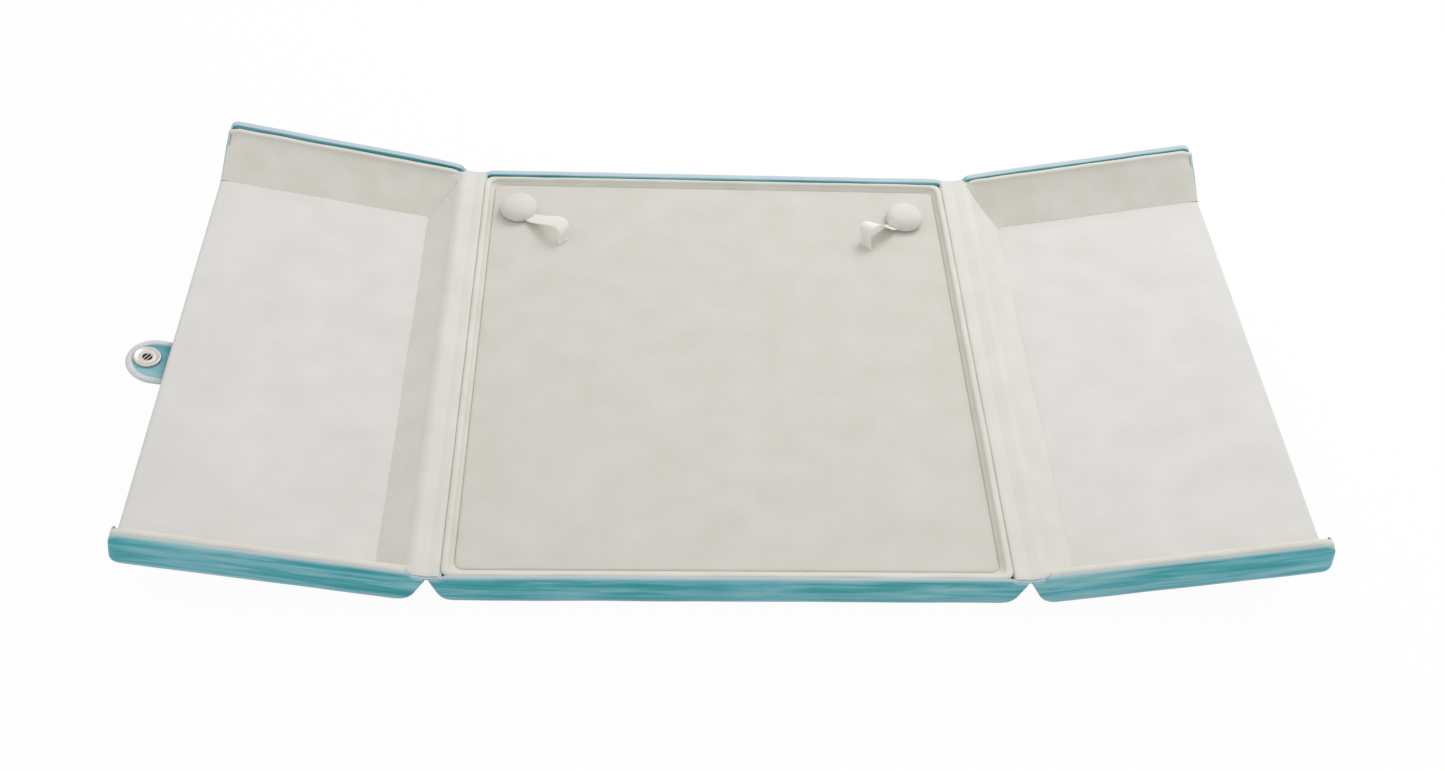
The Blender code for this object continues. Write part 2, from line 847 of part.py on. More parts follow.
def filler_foot(wall, edge_radius):
    """The wedge's lower corner at the wall, clear of the shell's rounded inner edge."""
    inner = max(edge_radius - inner_inset, least_radius)
    step = arc_inset(inner, glue_gap)
    return [(wall + step, filler_floor), (wall, filler_floor + inner)]


def side_filler(y_sign):
    wall = inner_inset + glue_gap
    level = -shell_inset - door_rim_drop - lining_thickness
    outline = slope_filler_top(side_slope_top, (side_foot_inset(y_sign), -foot_depth), wall, level)
    outline += filler_foot(wall, side_edge_radius)
    rows = []
    for station in [None] + end_stations():
        row = []
        for inset, height in outline:
            start = max(mitre_reach(inset, y_sign) + glue_gap, inside_hinge_wall(height))
            x = start if station is None else station
            row.append((x, y_sign * (half_depth - inset), height))
        rows.append(row)
    return door_tray.lowered(skin(rows))


def hinge_lining():
    """The door's half of the inner hinge strip, which runs on down the slope."""
    wide = lining_leaf_inset
    narrow = side_slope_top[0] + glue_gap
    path = [
        (hinge_clearance, -hinge_lining_depth),
        (hinge_flat, -hinge_lining_depth),
        ((hinge_flat + hinge_slope_start) / 2, -hinge_lining_depth),
        hinge_slope_top,
        (hinge_foot_reach, -foot_depth),
    ]
    outline = path + list(reversed(offset_path(path, lining_thickness)))
    rows = []
    for y_sign in (-1, 1):
        insets = [wide, wide, narrow, narrow, side_foot_inset(y_sign) + glue_gap]
        insets += insets[::-1]
        row = []
        for (x, level), inset in zip(outline, insets):
            row.append((x, y_sign * (half_depth - inset), level))
        rows.append(row)
    return skin(rows, sheet=True)


def hinge_filler():
    wall = hinge_clearance + inner_inset + glue_gap
    outline = slope_filler_top(hinge_slope_top, (hinge_foot_reach, -foot_depth), wall,
                               -hinge_wall_depth)
    corner = filler_floor + door_hinge_edge_radius - inner_inset
    outline.append((inside_hinge_wall(filler_floor), filler_floor))
    outline.append((inside_hinge_wall(corner), corner))
    rows = []
    for y_sign in (-1, 1):
        row = []
        for x, level in outline:
            inset = max(mitre_inset(x, y_sign) + glue_gap, side_edge_radius)
            row.append((x, y_sign * (half_depth - inset), level))
        rows.append(row)
    return skin(rows)


def door_floor_pad():
    """The thin padded floor, whose edges lean against the feet of the slopes."""
    top = floor_lining_top
    foot = door_floor + glue_gap
    lean_x = hinge_foot_reach - hinge_slope_foot
    lean = (top - foot) / (top + foot_depth)

    def side(y_sign, share, extra):
        floor_inset = floor_insets[y_sign]
        lean_y = side_foot_inset(y_sign) - floor_inset
        return half_depth - floor_inset - glue_gap - lean_y * lean * share - extra

    def row(share, extra, level):
        low = hinge_slope_foot + glue_gap + lean_x * lean * share + extra
        front = side(-1, share, extra)
        back = side(1, share, extra)
        corner = least_radius + extra / 2
        loop = rounded_loop(low, door_length - extra, (front + back) / 2, corner)
        return [(x, y + (back - front) / 2, level) for x, y in loop]

    rows = [row(1.0, glue_gap, foot), row(0.0, 2 * glue_gap, top - door_floor_edge)]
    rows.append(row(0.0, door_floor_edge + glue_gap, top))
    for step in range(2):
        share = (step + 1) / 2
        rise = door_floor_crown * (1 - (1 - share) ** 2)
        rows.append(row(0.0, door_floor_edge + door_floor_crown_run * share, top + rise))
    return skin(rows)


def cover_end_cutter():
    """What is open between the side walls at a door's free end, down to its floor."""
    front = side_foot_inset(-1) - half_depth
    back = half_depth - side_foot_inset(1)
    ledge = half_depth - side_slope_top[0]
    foot_level = -foot_depth
    outline = [
        (front, door_floor),
        (back, door_floor),
        (back, foot_level),
        (ledge, -slope_top_depth),
        (ledge, overrun),
        (-ledge, overrun),
        (-ledge, -slope_top_depth),
        (front, foot_level),
    ]
    start = door_length - door_end_turnover - glue_gap
    return skin([[(x, y, z) for y, z in outline] for x in (start, door_length + overrun)])


def shell_end_cutter():
    side = half_depth - inner_inset
    start = door_length - door_end_edge_radius - overrun
    return block((start, -side, door_floor), (door_length + overrun, side, overrun))


def make_door(side, turn, hinge):
    mirrored = turn < 0
    name = side + "_door_"
    cover = place_mesh(name + "cover", door_tray.cover(door_end_turnover), "velvet", hinge, mirrored)
    shell = place_mesh(name + "shell", door_tray.shell(), "greyboard", hinge, mirrored)
    end_cutter = place_mesh(name + "cover_cutter", cover_end_cutter(), None, hinge, mirrored)
    shell_cutter = place_mesh(name + "shell_cutter", shell_end_cutter(), None, hinge, mirrored)
    cut(cover, [end_cutter])
    cut(shell, [shell_cutter])
    floor = place_mesh(name + "floor_pad", door_floor_pad(), "cream_pad", hinge, mirrored)
    for wall, y_sign in (("front", -1), ("back", 1)):
        place_mesh(name + wall + "_lining", side_lining(y_sign), "cream_lining", hinge, mirrored)
        place_mesh(name + wall + "_filler", side_filler(y_sign), "foam", hinge, mirrored)
    place_mesh(name + "hinge_lining", hinge_lining(), "cream_lining", hinge, mirrored)
    place_mesh(name + "hinge_filler", hinge_filler(), "foam", hinge, mirrored)
    leaf_foot = -hinge_cloth_depth - hinge_cloth_thickness
    leaf = block((hinge_clearance, cloth_leaf_inset - half_depth, leaf_foot),
                 (hinge_flat, half_depth - cloth_leaf_inset, -hinge_cloth_depth))
    place_mesh(side + "_hinge_cloth_door_leaf", leaf, "velvet", hinge, mirrored)
    return cover, shell, floor


# Snap stud on the right door
def make_stud(hinge, cover, shell, floor):
    """The stud on the door's outer face, riveted through cover and shell to a washer."""
    place = (stud_x, tab_centre_y, -door_height)
    washer_foot = inner_inset + glue_gap
    washer_top = washer_foot + washer_thickness
    shank_end = washer_top + shank_overlength
    profile = [(radius, -height) for radius, height in post_profile(post_height, shank_end)]
    place_mesh("closure_stud", turned(profile, turn_steps), "nickel", hinge, at=place)
    washer = turned(washer_profile(washer_top), turn_steps, ring=True)
    place_mesh("closure_stud_washer", washer, "nickel", hinge, at=place)
    hole_radius = shank_radius + glue_gap
    hole = turned([(hole_radius, -overrun), (hole_radius, inner_inset + glue_gap / 2)], turn_steps)
    hole_cutter = place_mesh("stud_hole_cutter", hole, None, hinge, at=place)
    cut(cover, [hole_cutter])
    cut(shell, [hole_cutter])
    pocket_radius = washer_radius + glue_gap
    pocket = turned([(pocket_radius, 0.0), (pocket_radius, shank_end + glue_gap)], turn_steps)
    cut(floor, [place_mesh("stud_pocket_cutter", pocket, None, hinge, at=place)])


# Closing tab on the left door
def tongue_outline():
    """The tab's free part in the door's plane: straight sides and a round end."""
    half = tab_width / 2
    centre = door_length + tab_reach - half
    points = [(tab_pivot_x + hinge_clearance, -half)]
    for step in range(2 * edge_steps + 3):
        angle = pi * (step / (2 * edge_steps + 2) - 1 / 2)
        points.append((centre + half * cos(angle), half * sin(angle)))
    points.append((tab_pivot_x + hinge_clearance, half))
    return points


def tongue_layer(top):
    rows = []
    for level in (top - tab_cloth_thickness, top):
        rows.append([(x - tab_pivot_x, y, level - tab_pivot_z) for x, y in tongue_outline()])
    return skin(rows)


def make_tab(hinge):
    """The sewn root on the door, and the tongue with the snap's socket on its own pivot."""
    half = tab_width / 2
    root_top = -door_height - glue_gap
    root_end = tab_pivot_x - hinge_clearance
    root_rows = []
    for level, inset in (
        (root_top, 0.0),
        (root_top - tab_root_thickness + glue_gap, 0.0),
        (root_top - tab_root_thickness, glue_gap),
    ):
        edge = rounded_loop(root_end - tab_root_length + inset, root_end, half - inset,
                            tab_corner_radius)
        root_rows.append(level_row(edge, level))
    place_mesh("closure_tab_root", skin(root_rows), "velvet_tab", hinge, True,
               at=(0.0, tab_centre_y, 0.0))
    tab = pivot("closure_tab_pivot", (-tab_pivot_x, tab_centre_y, tab_pivot_z), (0.0, 0.0, 0.0),
                hinge)
    inner_top = tongue_face
    outer_top = tongue_face - tab_cloth_thickness - glue_gap
    inner = place_mesh("closure_tab_inner_cloth", tongue_layer(inner_top), "velvet_tab", tab, True)
    outer = place_mesh("closure_tab_outer_cloth", tongue_layer(outer_top), "velvet_tab", tab, True)
    socket_place = (tab_pivot_x - socket_x, 0.0, -tab_pivot_z)
    bore = post_head_radius + snap_clearance
    neck = bore + tab_cloth_thickness
    flange_foot = tongue_face + glue_gap
    flange_top = flange_foot + tab_socket_thickness
    neck_end = outer_top - tab_cloth_thickness
    ring = [
        (bore, flange_top),
        (tab_socket_radius, flange_top),
        (tab_socket_radius, flange_foot),
        (neck, flange_foot),
        (neck, neck_end),
        (bore, neck_end),
    ]
    place_mesh("closure_tab_snap_socket", turned(ring, button_steps, ring=True), "nickel", tab,
               at=socket_place)
    cap_top = neck_end - glue_gap
    cap_shares = ((1.0, 0.0), (0.97, 0.45), (0.72, 0.86), (0.3, 1.0))
    cap = [(tab_cap_radius * wide, cap_top - tab_cap_height * deep) for wide, deep in cap_shares]
    place_mesh("closure_tab_snap_cap", turned(cap, button_steps), "nickel", tab, at=socket_place)
    hole_radius = neck + glue_gap
    hole = turned([(hole_radius, neck_end - overrun), (hole_radius, tongue_face + overrun)],
                  button_steps)
    hole_cutter = place_mesh("tab_hole_cutter", hole, None, tab, at=socket_place)
    cut(inner, [hole_cutter])
    cut(outer, [hole_cutter])


def make_doors():
    left = pivot("left_door_hinge", (-half_span, 0.0, hinge_height), (0.0, left_tilt, 0.0))
    right = pivot("right_door_hinge", (half_span, 0.0, hinge_height), (0.0, -right_tilt, 0.0))
    make_door("left", -1, left)
    cover, shell, floor = make_door("right", 1, right)
    make_stud(right, cover, shell, floor)
    make_tab(left)


clear_scene()
make_base()
make_insert()
make_doors()
bpy.context.view_layer.update()
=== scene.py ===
"""The looks of a necklace box with two doors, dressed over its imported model.

Everything is in metres, in the model's own frame. A door's pieces are drawn by their distance
from the hinge line, their y and their height over the hinge plane, and then placed.
"""

from math import cos, hypot, pi, radians, sin, sqrt, tan

import bmesh
import bpy
from mathutils import Matrix, Vector, noise


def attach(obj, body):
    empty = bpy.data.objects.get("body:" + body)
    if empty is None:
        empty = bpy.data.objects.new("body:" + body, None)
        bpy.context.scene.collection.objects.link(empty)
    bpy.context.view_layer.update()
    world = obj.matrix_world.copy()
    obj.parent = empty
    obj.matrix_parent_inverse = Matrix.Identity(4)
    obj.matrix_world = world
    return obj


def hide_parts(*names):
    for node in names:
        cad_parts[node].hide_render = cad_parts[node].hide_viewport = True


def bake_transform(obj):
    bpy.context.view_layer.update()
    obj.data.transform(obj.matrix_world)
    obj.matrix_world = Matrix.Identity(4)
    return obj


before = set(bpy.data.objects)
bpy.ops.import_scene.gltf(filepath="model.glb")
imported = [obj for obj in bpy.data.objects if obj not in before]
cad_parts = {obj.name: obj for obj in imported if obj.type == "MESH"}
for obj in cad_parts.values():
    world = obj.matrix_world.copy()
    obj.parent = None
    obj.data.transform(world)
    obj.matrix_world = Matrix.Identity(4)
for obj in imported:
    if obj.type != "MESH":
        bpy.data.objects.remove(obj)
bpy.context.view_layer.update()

mm = 0.001


def in_mm(*sizes):
    """Sizes that are written in mm."""
    return tuple(size * mm for size in sizes)


# Cloth glued by hand is uneven, by waves of a length and depth that are the same at each run
noise.seed_set(1)
velvet_waves = in_mm(14, 0.14)
strip_waves = in_mm(16, 0.16)
lip_waves = in_mm(11, 0.16)

# The box
half_span = 95.0 * mm
half_depth = 100.0 * mm
hinge_z = 17.0 * mm
base_rim = 16.0 * mm
door_height = 18.3 * mm
door_length = 94.6 * mm
door_rim = -0.3 * mm
tilts = {"left": radians(12.4), "right": radians(11.7)}
turns = {"left": -1, "right": 1}

# Velvet walls
velvet_thickness = 0.7 * mm
side_edge_radius = 7.3 * mm
base_hinge_edge_radius = 5.0 * mm
door_hinge_edge_radius = 7.0 * mm
hinge_wall_lean = radians(17.5)
hinge_wall_depth = 3.3 * mm
hinge_wall_gap = 0.3 * mm
hinge_rim_depth = 2.1 * mm
hinge_flat = 3.4 * mm
hinge_rise = 3.0 * mm
door_end_edge_radius = 4.5 * mm
door_end_rim_radius = 3.5 * mm
door_end_turnover = 1.0 * mm
wall_corner_radius = 1.0 * mm
low_corner_growth = 2.4 * mm
low_corner_height = 12.0 * mm
# How far the doors' back rims stand out and up, swollen by their turned-in velvet
back_rim_swell = {"left": 0.9 * mm, "right": 0.4 * mm}
swell_rise_share = 0.6
least_radius = 0.4 * mm
rim_roll = 1.2 * mm
rim_rise = 0.2 * mm
front_rim_width = 1.7 * mm
back_rim_width = 3.0 * mm
hinge_rim_width = 1.6 * mm
rim_turn_depth = 1.5 * mm

# Linings: a lip is given by its middle's inset, its middle's height under the rim, and its radii
lining_thickness = 0.6 * mm
side_lining_thickness = 0.35 * mm
base_front_lip = in_mm(2.15, -0.25, 0.72, 0.62)
base_back_lip = in_mm(4.05, -1.05, 0.85, 0.62)
base_lip_corner = 3.2 * mm
base_right_lip = in_mm(6.00, -0.55, 1.15, 0.90)
base_left_lip = in_mm(5.00, -0.55, 1.15, 0.90)
door_front_lip = in_mm(2.25, 0.00, 1.15, 0.72)
door_back_lip = in_mm(4.10, -0.30, 1.00, 0.62)
slope_top = in_mm(5.2, -1.4)
front_slope_top = in_mm(4.75, -1.75)
front_ledge = [in_mm(3.15, -0.9), in_mm(3.35, -1.45), in_mm(4.3, -1.55)]
hinge_slope_top = in_mm(5.2, -1.5)
hinge_slope_foot = in_mm(15.4, -14.3)
floor_insets = {-1: 7.8 * mm, 1: 18.3 * mm}
floor_top = -14.3 * mm
door_lip_start = 6.4 * mm
strip_inset = 1.5 * mm
strip_reach = {"left": 0.8, "right": 1.0}

# Insert
pad_half_x = 86.8 * mm
pad_half_y = 94.1 * mm
pad_edge = 13.4 * mm
pad_crown = 1.0 * mm
pad_crown_run = 45.0 * mm
pad_edge_round = 0.9 * mm
# The insert lies a little nearer the left lip
pad_left_reach = 0.8 * mm
pad_corner_radius = 3.0 * mm
pad_foot = 2.6 * mm

# Where each strap's button and slit lie on the insert
strap_places = {
    "left": (in_mm(-77.1, 77.4), in_mm(-59.3, 59.9)),
    "right": (in_mm(73.2, 75.4), in_mm(57.0, 60.0)),
}
slit_length = 6.6 * mm
slit_opening = 0.55 * mm
slit_edge_radius = 0.2 * mm
slit_dimple = 0.25 * mm
slit_dimple_reach = 6 * mm
tab_edge_roll_radius = 1.25 * mm
tab_edge_roll_inset = -0.45 * mm

# Angles in degrees over which an edge stays sharp, and the sides of a turned piece
hard_edge = 40
cloth_fold = 60
turn_steps = 48

# Studio
floor_white_share = 0.96
floor_half_side = 3.0
floor_level = -0.4 * mm
room_level = 0.745
camera_place = Vector((-30.57, -391.59, 417.1)) * mm
camera_angles = (46.79, -4.56, 4.04)
camera_lens = 39.163
window_place = (0.30, 0.45, 0.62)
window_target = (0.03, 0.02, 0.0)
window_size = 0.4
window_watts = 2.4
white = (1.0, 1.0, 1.0, 1.0)

overhead = Vector((0.0, 0.0, 1.0))


# Places
def in_door(side):
    """Places a point of a door's drawing."""
    turn = turns[side]
    tilt = tilts[side]

    def place(distance, y, height):
        out = half_span + distance * cos(tilt) - height * sin(tilt)
        up = hinge_z + distance * sin(tilt) + height * cos(tilt)
        return Vector((turn * out, y, up))

    return place


# Meshes
def smooth_share(share):
    held = min(max(share, 0.0), 1.0)
    return held * held * (3 - 2 * held)


def between(first, second, share):
    return first + (second - first) * share


def arc_inset(radius, height):
    """How far in a rounded edge stands at a height above its foot."""
    if height >= radius:
        return 0.0
    return radius - sqrt(max(radius**2 - (radius - max(height, 0.0)) ** 2, 0.0))


def spread(first, last, spacing):
    """Even places from first to last, about a spacing apart."""
    count = max(1, round(abs(last - first) / spacing))
    return [between(first, last, step / count) for step in range(count + 1)]


def unevenness(point, waves):
    """A smooth random shift for cloth glued by hand."""
    length, depth = waves
    return noise.noise_vector(Vector(point) / length) * depth


def skin(rows, ring=False, open_rows=False, caps=False):
    """A mesh of quads through rows of equally many points."""
    made = bmesh.new()
    lines = [[made.verts.new(point) for point in row] for row in rows]
    count = len(lines[0])
    pairs = list(zip(lines, lines[1:]))
    if ring:
        pairs.append((lines[-1], lines[0]))
    for first, second in pairs:
        for here in range(count - 1 if open_rows else count):
            ahead = (here + 1) % count
            made.faces.new((first[here], first[ahead], second[ahead], second[here]))
    if caps:
        made.faces.new(lines[0])
        made.faces.new(lines[-1])
    return made


def in_scene(name, data):
    """An object with its data, linked to the scene."""
    made = bpy.data.objects.new(name, data)
    bpy.context.scene.collection.objects.link(made)
    return made


def piece(name, mesh_data, material, sharp=hard_edge):
    """An object from a bmesh, faces out, smooth but for edges sharper than an angle."""
    bmesh.ops.remove_doubles(mesh_data, verts=mesh_data.verts, dist=0.004 * mm)
    bmesh.ops.recalc_face_normals(mesh_data, faces=mesh_data.faces)
    mesh = bpy.data.meshes.new(name)
    mesh_data.to_mesh(mesh)
    mesh_data.free()
    made = in_scene(name, mesh)
    mesh.materials.append(material)
    smooth(made, sharp)
    return made


def smooth(made, sharp):
    made.data.shade_smooth()
    made.data.set_sharp_from_angle(angle=radians(sharp))


def settle(made):
    """Applies the object's modifiers to its mesh."""
    depsgraph = bpy.context.evaluated_depsgraph_get()
    mesh = bpy.data.meshes.new_from_object(made.evaluated_get(depsgraph))
    made.modifiers.clear()
    made.data = mesh
    return made


def subdivided(made):
    """Divides the mesh once and rounds it."""
    division = made.modifiers.new("division", "SUBSURF")
    division.levels = 1
    settle(made)
    smooth(made, cloth_fold)
    return made


def cloth_sheet(rows, thickness):
    """A sheet of cloth, from rows across its upper face; its thickness goes down."""
    made = skin(rows, open_rows=True)
    bmesh.ops.recalc_face_normals(made, faces=made.faces)
    if sum(face.normal.z * face.calc_area() for face in made.faces) < 0:
        bmesh.ops.reverse_faces(made, faces=made.faces)
    bmesh.ops.solidify(made, geom=made.faces[:], thickness=thickness)
    return made


def declare_sheet(rows):
    """Measures the steps along a sheet's rows and across them, and keeps none of them."""
    for lines in (rows, list(zip(*rows))):
        steps = [(b - a).length for line in lines for a, b in zip(line, line[1:])]


def round_row(centre, side, lift, sides):
    """Points round a centre, from two half axes."""
    angles = [2 * pi * step / sides for step in range(sides)]
    return [centre + side * cos(angle) + lift * sin(angle) for angle in angles]


def tube(path, radius, sides=10, closed=False, flat=1.0, up=overhead, taper=0.45):
    """A round or flattened cord of cloth along a path of points."""
    rows = []
    count = len(path)
    for number, point in enumerate(path):
        before = path[(number - 1) % count if closed else max(number - 1, 0)]
        after = path[(number + 1) % count if closed else min(number + 1, count - 1)]
        along = (after - before).normalized()
        side = along.cross(up).normalized()
        lift = side.cross(along)
        size = radius * (taper if not closed and number in (0, count - 1) else 1.0)
        rows.append(round_row(point, side * size, lift * size * flat, sides))
    return skin(rows, ring=closed, caps=not closed)


def turned(profile, steps, centre, axis=overhead, capped=True):
    """A turned form through (radius, height) points along an axis."""
    side, lift, up = axis.to_track_quat("Z", "X").to_matrix().transposed()
    rows = []
    for radius, height in profile:
        rows.append(round_row(centre + up * height, side * radius, lift * radius, steps))
    return skin(rows, caps=capped, ring=not capped)


# Materials
def linear(hex_colour):
    """An sRGB hex colour as the linear one that the shader takes."""
    parts = [int(hex_colour[start : start + 2], 16) / 255 for start in (1, 3, 5)]
    return tuple(p / 12.92 if p <= 0.04045 else ((p + 0.055) / 1.055) ** 2.4 for p in parts) + (1.0,)


def add(tree, kind, inputs=None, give=0, **settings):
    """A shader node with its settings, its inputs set or linked. It returns one output."""
    made = tree.nodes.new("ShaderNode" + kind)
    for name, value in settings.items():
        setattr(made, name, value)
    for name, value in (inputs or {}).items():
        if isinstance(value, bpy.types.NodeSocket):
            tree.links.new(value, made.inputs[name])
        else:
            made.inputs[name].default_value = value
    return made.outputs[give]


def new_material(name, **sockets):
    """A material with its shader's own values set."""
    made = bpy.data.materials.new(name)
    made.use_nodes = True
    shader = made.node_tree.nodes["Principled BSDF"]
    for socket, value in sockets.items():
        shader.inputs[socket.replace("_", " ")].default_value = value
    return made, made.node_tree, shader


def lying(tree, tilt=0.0, scale=(1.0, 1.0, 1.0)):
    """Object coordinates turned into a door's plane and scaled."""
    place = add(tree, "TexCoord", give="Object")
    level = add(tree, "Mapping", {"Vector": place, "Rotation": (0.0, tilt, 0.0)})
    return add(tree, "Mapping", {"Vector": level, "Scale": scale})


def ramp(tree, factor, stops):
    """A colour ramp through (place, hex colour) stops."""
    colour = add(tree, "ValToRGB", {"Fac": factor}, "Color")
    elements = colour.node.color_ramp.elements
    while len(elements) < len(stops):
        elements.new(0.5)
    for element, (place, hex_colour) in zip(elements, stops):
        element.position = place
        element.color = linear(hex_colour)
    return colour


def surface(tree, shader, colour, height, strength, depth):
    """Gives the shader its colour, and a height as fine relief."""
    tree.links.new(colour, shader.inputs["Base Color"])
    relief = add(tree, "Bump", {"Height": height, "Strength": strength, "Distance": depth})
    tree.links.new(relief, shader.inputs["Normal"])


def velvet(name, tilt, painted_light_most=0.9):
    """Short-pile polyester velvet, brushed along the walls.

    The eye sees long streaks where the nap lies teal or blue, a pale bloom where it is
    seen along the surface, and a fine fibrous break-up. Faces that point up and the low
    rounded edges are painted paler: a painted highlight and a painted sheen.
    """
    made, tree, shader = new_material(name, Roughness=0.9, Sheen_Weight=0.75,
                                      Sheen_Roughness=0.38, Sheen_Tint=linear("#D9E2EE"),
                                      Specular_IOR_Level=0.15)
    # Streaks of nap 30 mm long and about 2 mm high
    along = lying(tree, tilt, (34.0, 170.0, 520.0))
    streaks = add(tree, "TexNoise", {"Vector": along, "Scale": 1.0, "Detail": 3.0,
                                     "Roughness": 0.55, "Distortion": 0.6})
    # Broader bands where a hand has brushed it the other way
    broad = lying(tree, tilt, (22.0, 60.0, 190.0))
    patches = add(tree, "TexNoise", {"Vector": broad, "Scale": 1.0, "Detail": 2.0})
    mixed = add(tree, "Mix", {"Factor": 0.5, 2: streaks, 3: patches})
    nap = ramp(tree, mixed, [(0.36, "#359B9D"), (0.45, "#4EA8AD"), (0.51, "#6BB4C1"),
                             (0.57, "#82BEC3"), (0.66, "#9BCBCE")])
    # Painted light: faces that point up are painted paler, a painted highlight of the light from above,
    # and the low rounded edges faintly so, a painted sheen
    facing = add(tree, "TexCoord", give="Normal")
    upward = add(tree, "SeparateXYZ", {"Vector": facing}, "Z")
    painted_top_light = add(tree, "MapRange", {"Value": upward, "From Min": 0.3, "From Max": 0.95,
                                       "To Max": painted_light_most})
    under = add(tree, "MapRange", {"Value": upward, "From Min": -0.1, "From Max": -0.6,
                                   "To Max": 0.35})
    edge_only = add(tree, "MapRange", {"Value": upward, "From Min": -0.7, "From Max": -0.95,
                                       "To Min": 1.0, "To Max": 0.1})
    under_edge = add(tree, "Math", {0: under, 1: edge_only}, operation="MULTIPLY")
    painted_light_share = add(tree, "Math", {0: painted_top_light, 1: under_edge}, operation="MAXIMUM")
    # The pale colour that the painted highlight and painted sheen mix into the nap
    colour = add(tree, "Mix", {"Factor": painted_light_share, "A": nap, "B": linear("#C6D2DA")}, "Result",
                 data_type="RGBA")
    # Fibre ends, drawn 0.3 mm wide so that they show
    ends = lying(tree, tilt, (1200.0, 1800.0, 3000.0))
    fibres = add(tree, "TexNoise", {"Vector": ends, "Scale": 1.0, "Detail": 2.0})
    height = add(tree, "Mix", {"Factor": 0.5, 2: fibres, 3: streaks})
    surface(tree, shader, colour, height, 0.35, 0.25 * mm)
    return made


def cream_cloth(name, colours, mottle, fibre, sheen):
    """A cream cloth: soft mottling at one size in mm, fibre at another."""
    made, tree, shader = new_material(name, Roughness=0.85, Sheen_Weight=sheen,
                                      Sheen_Roughness=0.5, Specular_IOR_Level=0.2)
    soft = add(tree, "TexNoise", {"Vector": lying(tree), "Scale": 1.0 / mottle, "Detail": 2.0,
                                  "Roughness": 0.5})
    fine = add(tree, "TexNoise", {"Vector": lying(tree), "Scale": 1.0 / fibre, "Detail": 3.0,
                                  "Roughness": 0.7})
    colour = ramp(tree, soft, list(zip((0.30, 0.50, 0.70), colours)))
    height = add(tree, "Mix", {"Factor": 0.25, 2: fine, 3: soft})
    surface(tree, shader, colour, height, 0.22, 0.1 * mm)
    return made


def satin_ribbon(name):
    """Cream rayon satin: floats along the ribbon give a soft streaked gloss."""
    made, tree, shader = new_material(name, Roughness=0.42, Sheen_Weight=0.15,
                                      Specular_IOR_Level=0.4)
    threads = add(tree, "TexNoise", {"Vector": lying(tree), "Scale": 1500.0, "Detail": 2.0})
    colour = ramp(tree, threads, [(0.35, "#EBE9E1"), (0.65, "#F3F1EB")])
    surface(tree, shader, colour, threads, 0.25, 0.06 * mm)
    return made


def plated(name, colours, roughness):
    """Stamped steel, tumbled and plated: soft gloss, faint scratches and dulled spots."""
    made, tree, shader = new_material(name, Metallic=1.0, Roughness=roughness)
    spots = add(tree, "TexNoise", {"Vector": lying(tree), "Scale": 900.0, "Detail": 5.0})
    colour = ramp(tree, spots, list(zip((0.35, 0.65), colours)))
    tree.links.new(colour, shader.inputs["Base Color"])
    dulled = add(tree, "MapRange", {"Value": spots, "To Min": roughness - 0.1,
                                    "To Max": roughness + 0.15})
    tree.links.new(dulled, shader.inputs["Roughness"])
    return made


def bulk(name, colours, grain, roughness):
    """A dull hidden stuff, such as board or foam, with its grain at a size in mm."""
    made, tree, shader = new_material(name, Roughness=roughness)
    grains = add(tree, "TexNoise", {"Vector": lying(tree), "Scale": 1.0 / grain, "Detail": 4.0})
    colour = ramp(tree, grains, list(zip((0.35, 0.65), colours)))
    surface(tree, shader, colour, grains, 0.4, 0.2 * mm)
    return made


velvet_base = velvet("brushed_velvet_base", 0.0)
velvet_door = {
    "left": velvet("brushed_velvet_left_door", -tilts["left"]),
    "right": velvet("brushed_velvet_right_door", tilts["right"]),
}
# The tab's velvet takes only a tenth of the painted top light
velvet_tab = velvet("brushed_velvet_tab", -tilts["left"], 0.1)
pad_suede = cream_cloth("microsuede_pad_cream", ("#D1CEC5", "#D4D1C9", "#D7D4CD"),
                        14 * mm, 0.35 * mm, 0.2)
floor_suede = cream_cloth("microsuede_floor_cream", ("#DAD8D3", "#DDDBD7", "#E0DEDA"),
                          14 * mm, 0.35 * mm, 0.2)
button_cloth = cream_cloth("microsuede_button_cream", ("#D9D6CF", "#DCDAD4", "#DFDDD8"),
                           6 * mm, 0.3 * mm, 0.2)
# The lining's cream is a touch yellower than the hinge cloth's: a painted warm tint of the shade on the
# walls
lining = cream_cloth("lining_cloth_cream", ("#DAD7CC", "#DDDBD1", "#E1DFD7"),
                     12 * mm, 0.3 * mm, 0.15)
strip_cloth = cream_cloth("hinge_cloth_cream", ("#DAD8D0", "#DDDBD4", "#E0DED8"),
                          12 * mm, 0.3 * mm, 0.15)
# The tab's rolled edge in pale grey: its rounding is the velvet wrapped round it, its paleness a painted
# sheen
tab_edge_painted_sheen = cream_cloth("tab_edge_cloth_painted_sheen", ("#D2D2D5", "#D8D8DA", "#DEDEE0"),
                      5 * mm, 0.3 * mm, 0.3)
ribbon = satin_ribbon("satin_ribbon_cream")
nickel = plated("nickel_plated_steel", ("#C9BFB6", "#DCD5CE"), 0.34)
ring_steel = plated("nickel_plated_steel_pale", ("#C4BEB6", "#D3CDC6"), 0.45)
# A dark steel colour as painted shade, for the bottom of the socket's hole
socket_painted_shade = plated("dark_steel_painted_shade", ("#3A302A", "#4B3F38"), 0.5)
greyboard = bulk("greyboard_pressed", ("#8E8980", "#A6A096"), 0.8 * mm, 0.95)
# A foam colour darkened as painted shade, for the flat sheet inside each slit
slit_painted_shade = bulk("polyurethane_foam_in_shade", ("#8F8972", "#A59F88"), 0.5 * mm, 0.95)
foam = bulk("polyurethane_foam", ("#E6DFC9", "#F1ECDB"), 0.5 * mm, 0.95)


def dress(made, body, slot, *nodes):
    """Binds a piece to its body, in the place of the model's own nodes; its slot is not used."""
    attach(made, body)
    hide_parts(*nodes)


